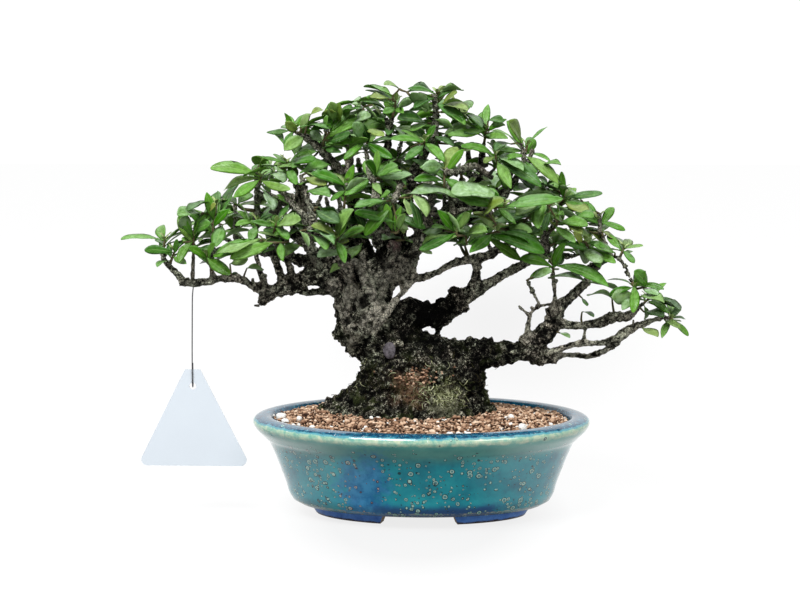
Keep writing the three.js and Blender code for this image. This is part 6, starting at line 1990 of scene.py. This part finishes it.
# Stage
def studio_world():
    """White to the camera; as light it is white behind the object, paler above and dim in front."""
    world = bpy.data.worlds.new("studio")
    world.use_nodes = True
    n = Nodes(world.node_tree)
    way = n.node("ShaderNodeTexCoord", out="Generated")
    y, z = (n.node("ShaderNodeSeparateXYZ", {0: way}, axis) for axis in "YZ")
    light = n.range(y, -0.35, 0.55, *WORLD_FRONT_BACK) + n.range(z, 0.2, 0.9, 0.0, WORLD_ABOVE)
    background = n.tree.nodes["Background"].inputs
    seen = n.node("ShaderNodeLightPath", out="Is Camera Ray")
    n.link(n.blend(seen, light, WORLD_SEEN), background["Strength"])
    n.link(WHITE, background["Color"])
    return world


def oval_distance(s, centre, reach):
    """How far a point of the floor is from a centre in mm, in shares of an oval's reach along x and y."""
    beside = s.vector("SUBTRACT", s.here(), tuple(place(centre)))
    shares = s.vector("MULTIPLY", beside, (1 / reach[0] / MM, 1 / reach[1] / MM, 0))
    return s.node("ShaderNodeVectorMath", {0: shares}, "Value", operation="LENGTH")


def floor_material():
    """A floor that glows nearly white, and gives less light near the pot than it shows the camera. To the
    camera its glow is painted dimmer round the pot as a shadow and behind the pot as shade; in reflections it
    is painted dim near the pot as a shadow.
    """
    s = Shader("floor", Base_Color=rgb(FLOOR_GREY, FLOOR_GREY, FLOOR_GREY), Roughness=0.9,
               Specular_IOR_Level=0.0, Emission_Color=WHITE)
    seen = s.node("ShaderNodeLightPath", out="Is Camera Ray")
    mirrored = s.node("ShaderNodeLightPath", out="Is Glossy Ray")
    away = oval_distance(s, (0, 0, 0), (1000 / FLOOR_SIDEWAYS, 1000))
    # Painted shadow round the pot and painted shade behind it, in the glow that the camera sees and in
    # reflections.
    shade_behind_share = s.range(oval_distance(s, PAINTED_SHADE_CENTRE, PAINTED_SHADE_REACH), 0, 1, PAINTED_SHADE_BEHIND, 1, True)
    strength = s.blend(seen, FLOOR_BOUNCE, shade_behind_share * s.range(away, *FLOOR_FADE, *FLOOR_GLOW))
    strength = s.blend(mirrored, strength, s.range(away, *FLOOR_FADE, *FLOOR_MIRRORED))
    s.link(strength, s.surface["Emission Strength"])
    return s.material


def make_stage():
    """The floor, the world and the lights."""
    mesh = bpy.data.meshes.new("floor")
    corners = [(-1, -1), (1, -1), (1, 1), (-1, 1)]
    mesh.from_pydata([(x * FLOOR_HALF, y * FLOOR_HALF, 0) for x, y in corners], [], [(0, 1, 2, 3)])
    mesh.materials.append(floor_material())
    floor = bpy.data.objects.new("floor", mesh)
    bpy.context.scene.collection.objects.link(floor)
    bpy.context.scene.world = studio_world()
    for name, where, aim, size, watts in LIGHTS:
        light = bpy.data.lights.new(name, "AREA")
        light.shape = "DISK"
        light.size = size
        light.energy = watts
        lamp = bpy.data.objects.new(name, light)
        lamp.location = where
        lamp.rotation_euler = (Vector(aim) - Vector(where)).to_track_quat("-Z", "Y").to_euler()
        bpy.context.scene.collection.objects.link(lamp)
    view = bpy.context.scene.view_settings
    view.view_transform = "Standard"
    view.look = "None"


make_camera()
make_wire(plain_material("wire"))
bark = bark_material()
bark_surface = make_wood(bark)
wood = Wood()
make_twigs(bark, wood)
leaf_materials = [leaf_material("leaf_top"), leaf_material("leaf_under"), plain_material("stem")]
crowd = Crowd()
for spray_number, spray_row in enumerate(SPRAYS):
    make_spray(spray_number, spray_row, crowd, leaf_materials)
for leaf_region, leaf_rows in PHOTO_LEAVES.items():
    make_photo_leaves(leaf_region, leaf_rows, wood, leaf_materials)
make_inner_shoots(wood, leaf_materials)
make_pot(glaze_material(), foot_material(), plain_material("raw_clay"))
akadama = grain_material()
make_soil(plain_material("soil_bed"), akadama)
dress_trunk(bark_surface, akadama, fibre_material(), plain_material("scar"))
screen = plastic_material("screen", (0.02, 0.022, 0.025), 0.5)
paint_node("drain_screen_left", screen)
paint_node("drain_screen_right", screen)
paint_node("tag", plastic_material("tag", (0.66, 0.72, 0.78), 0.35))
make_stage()
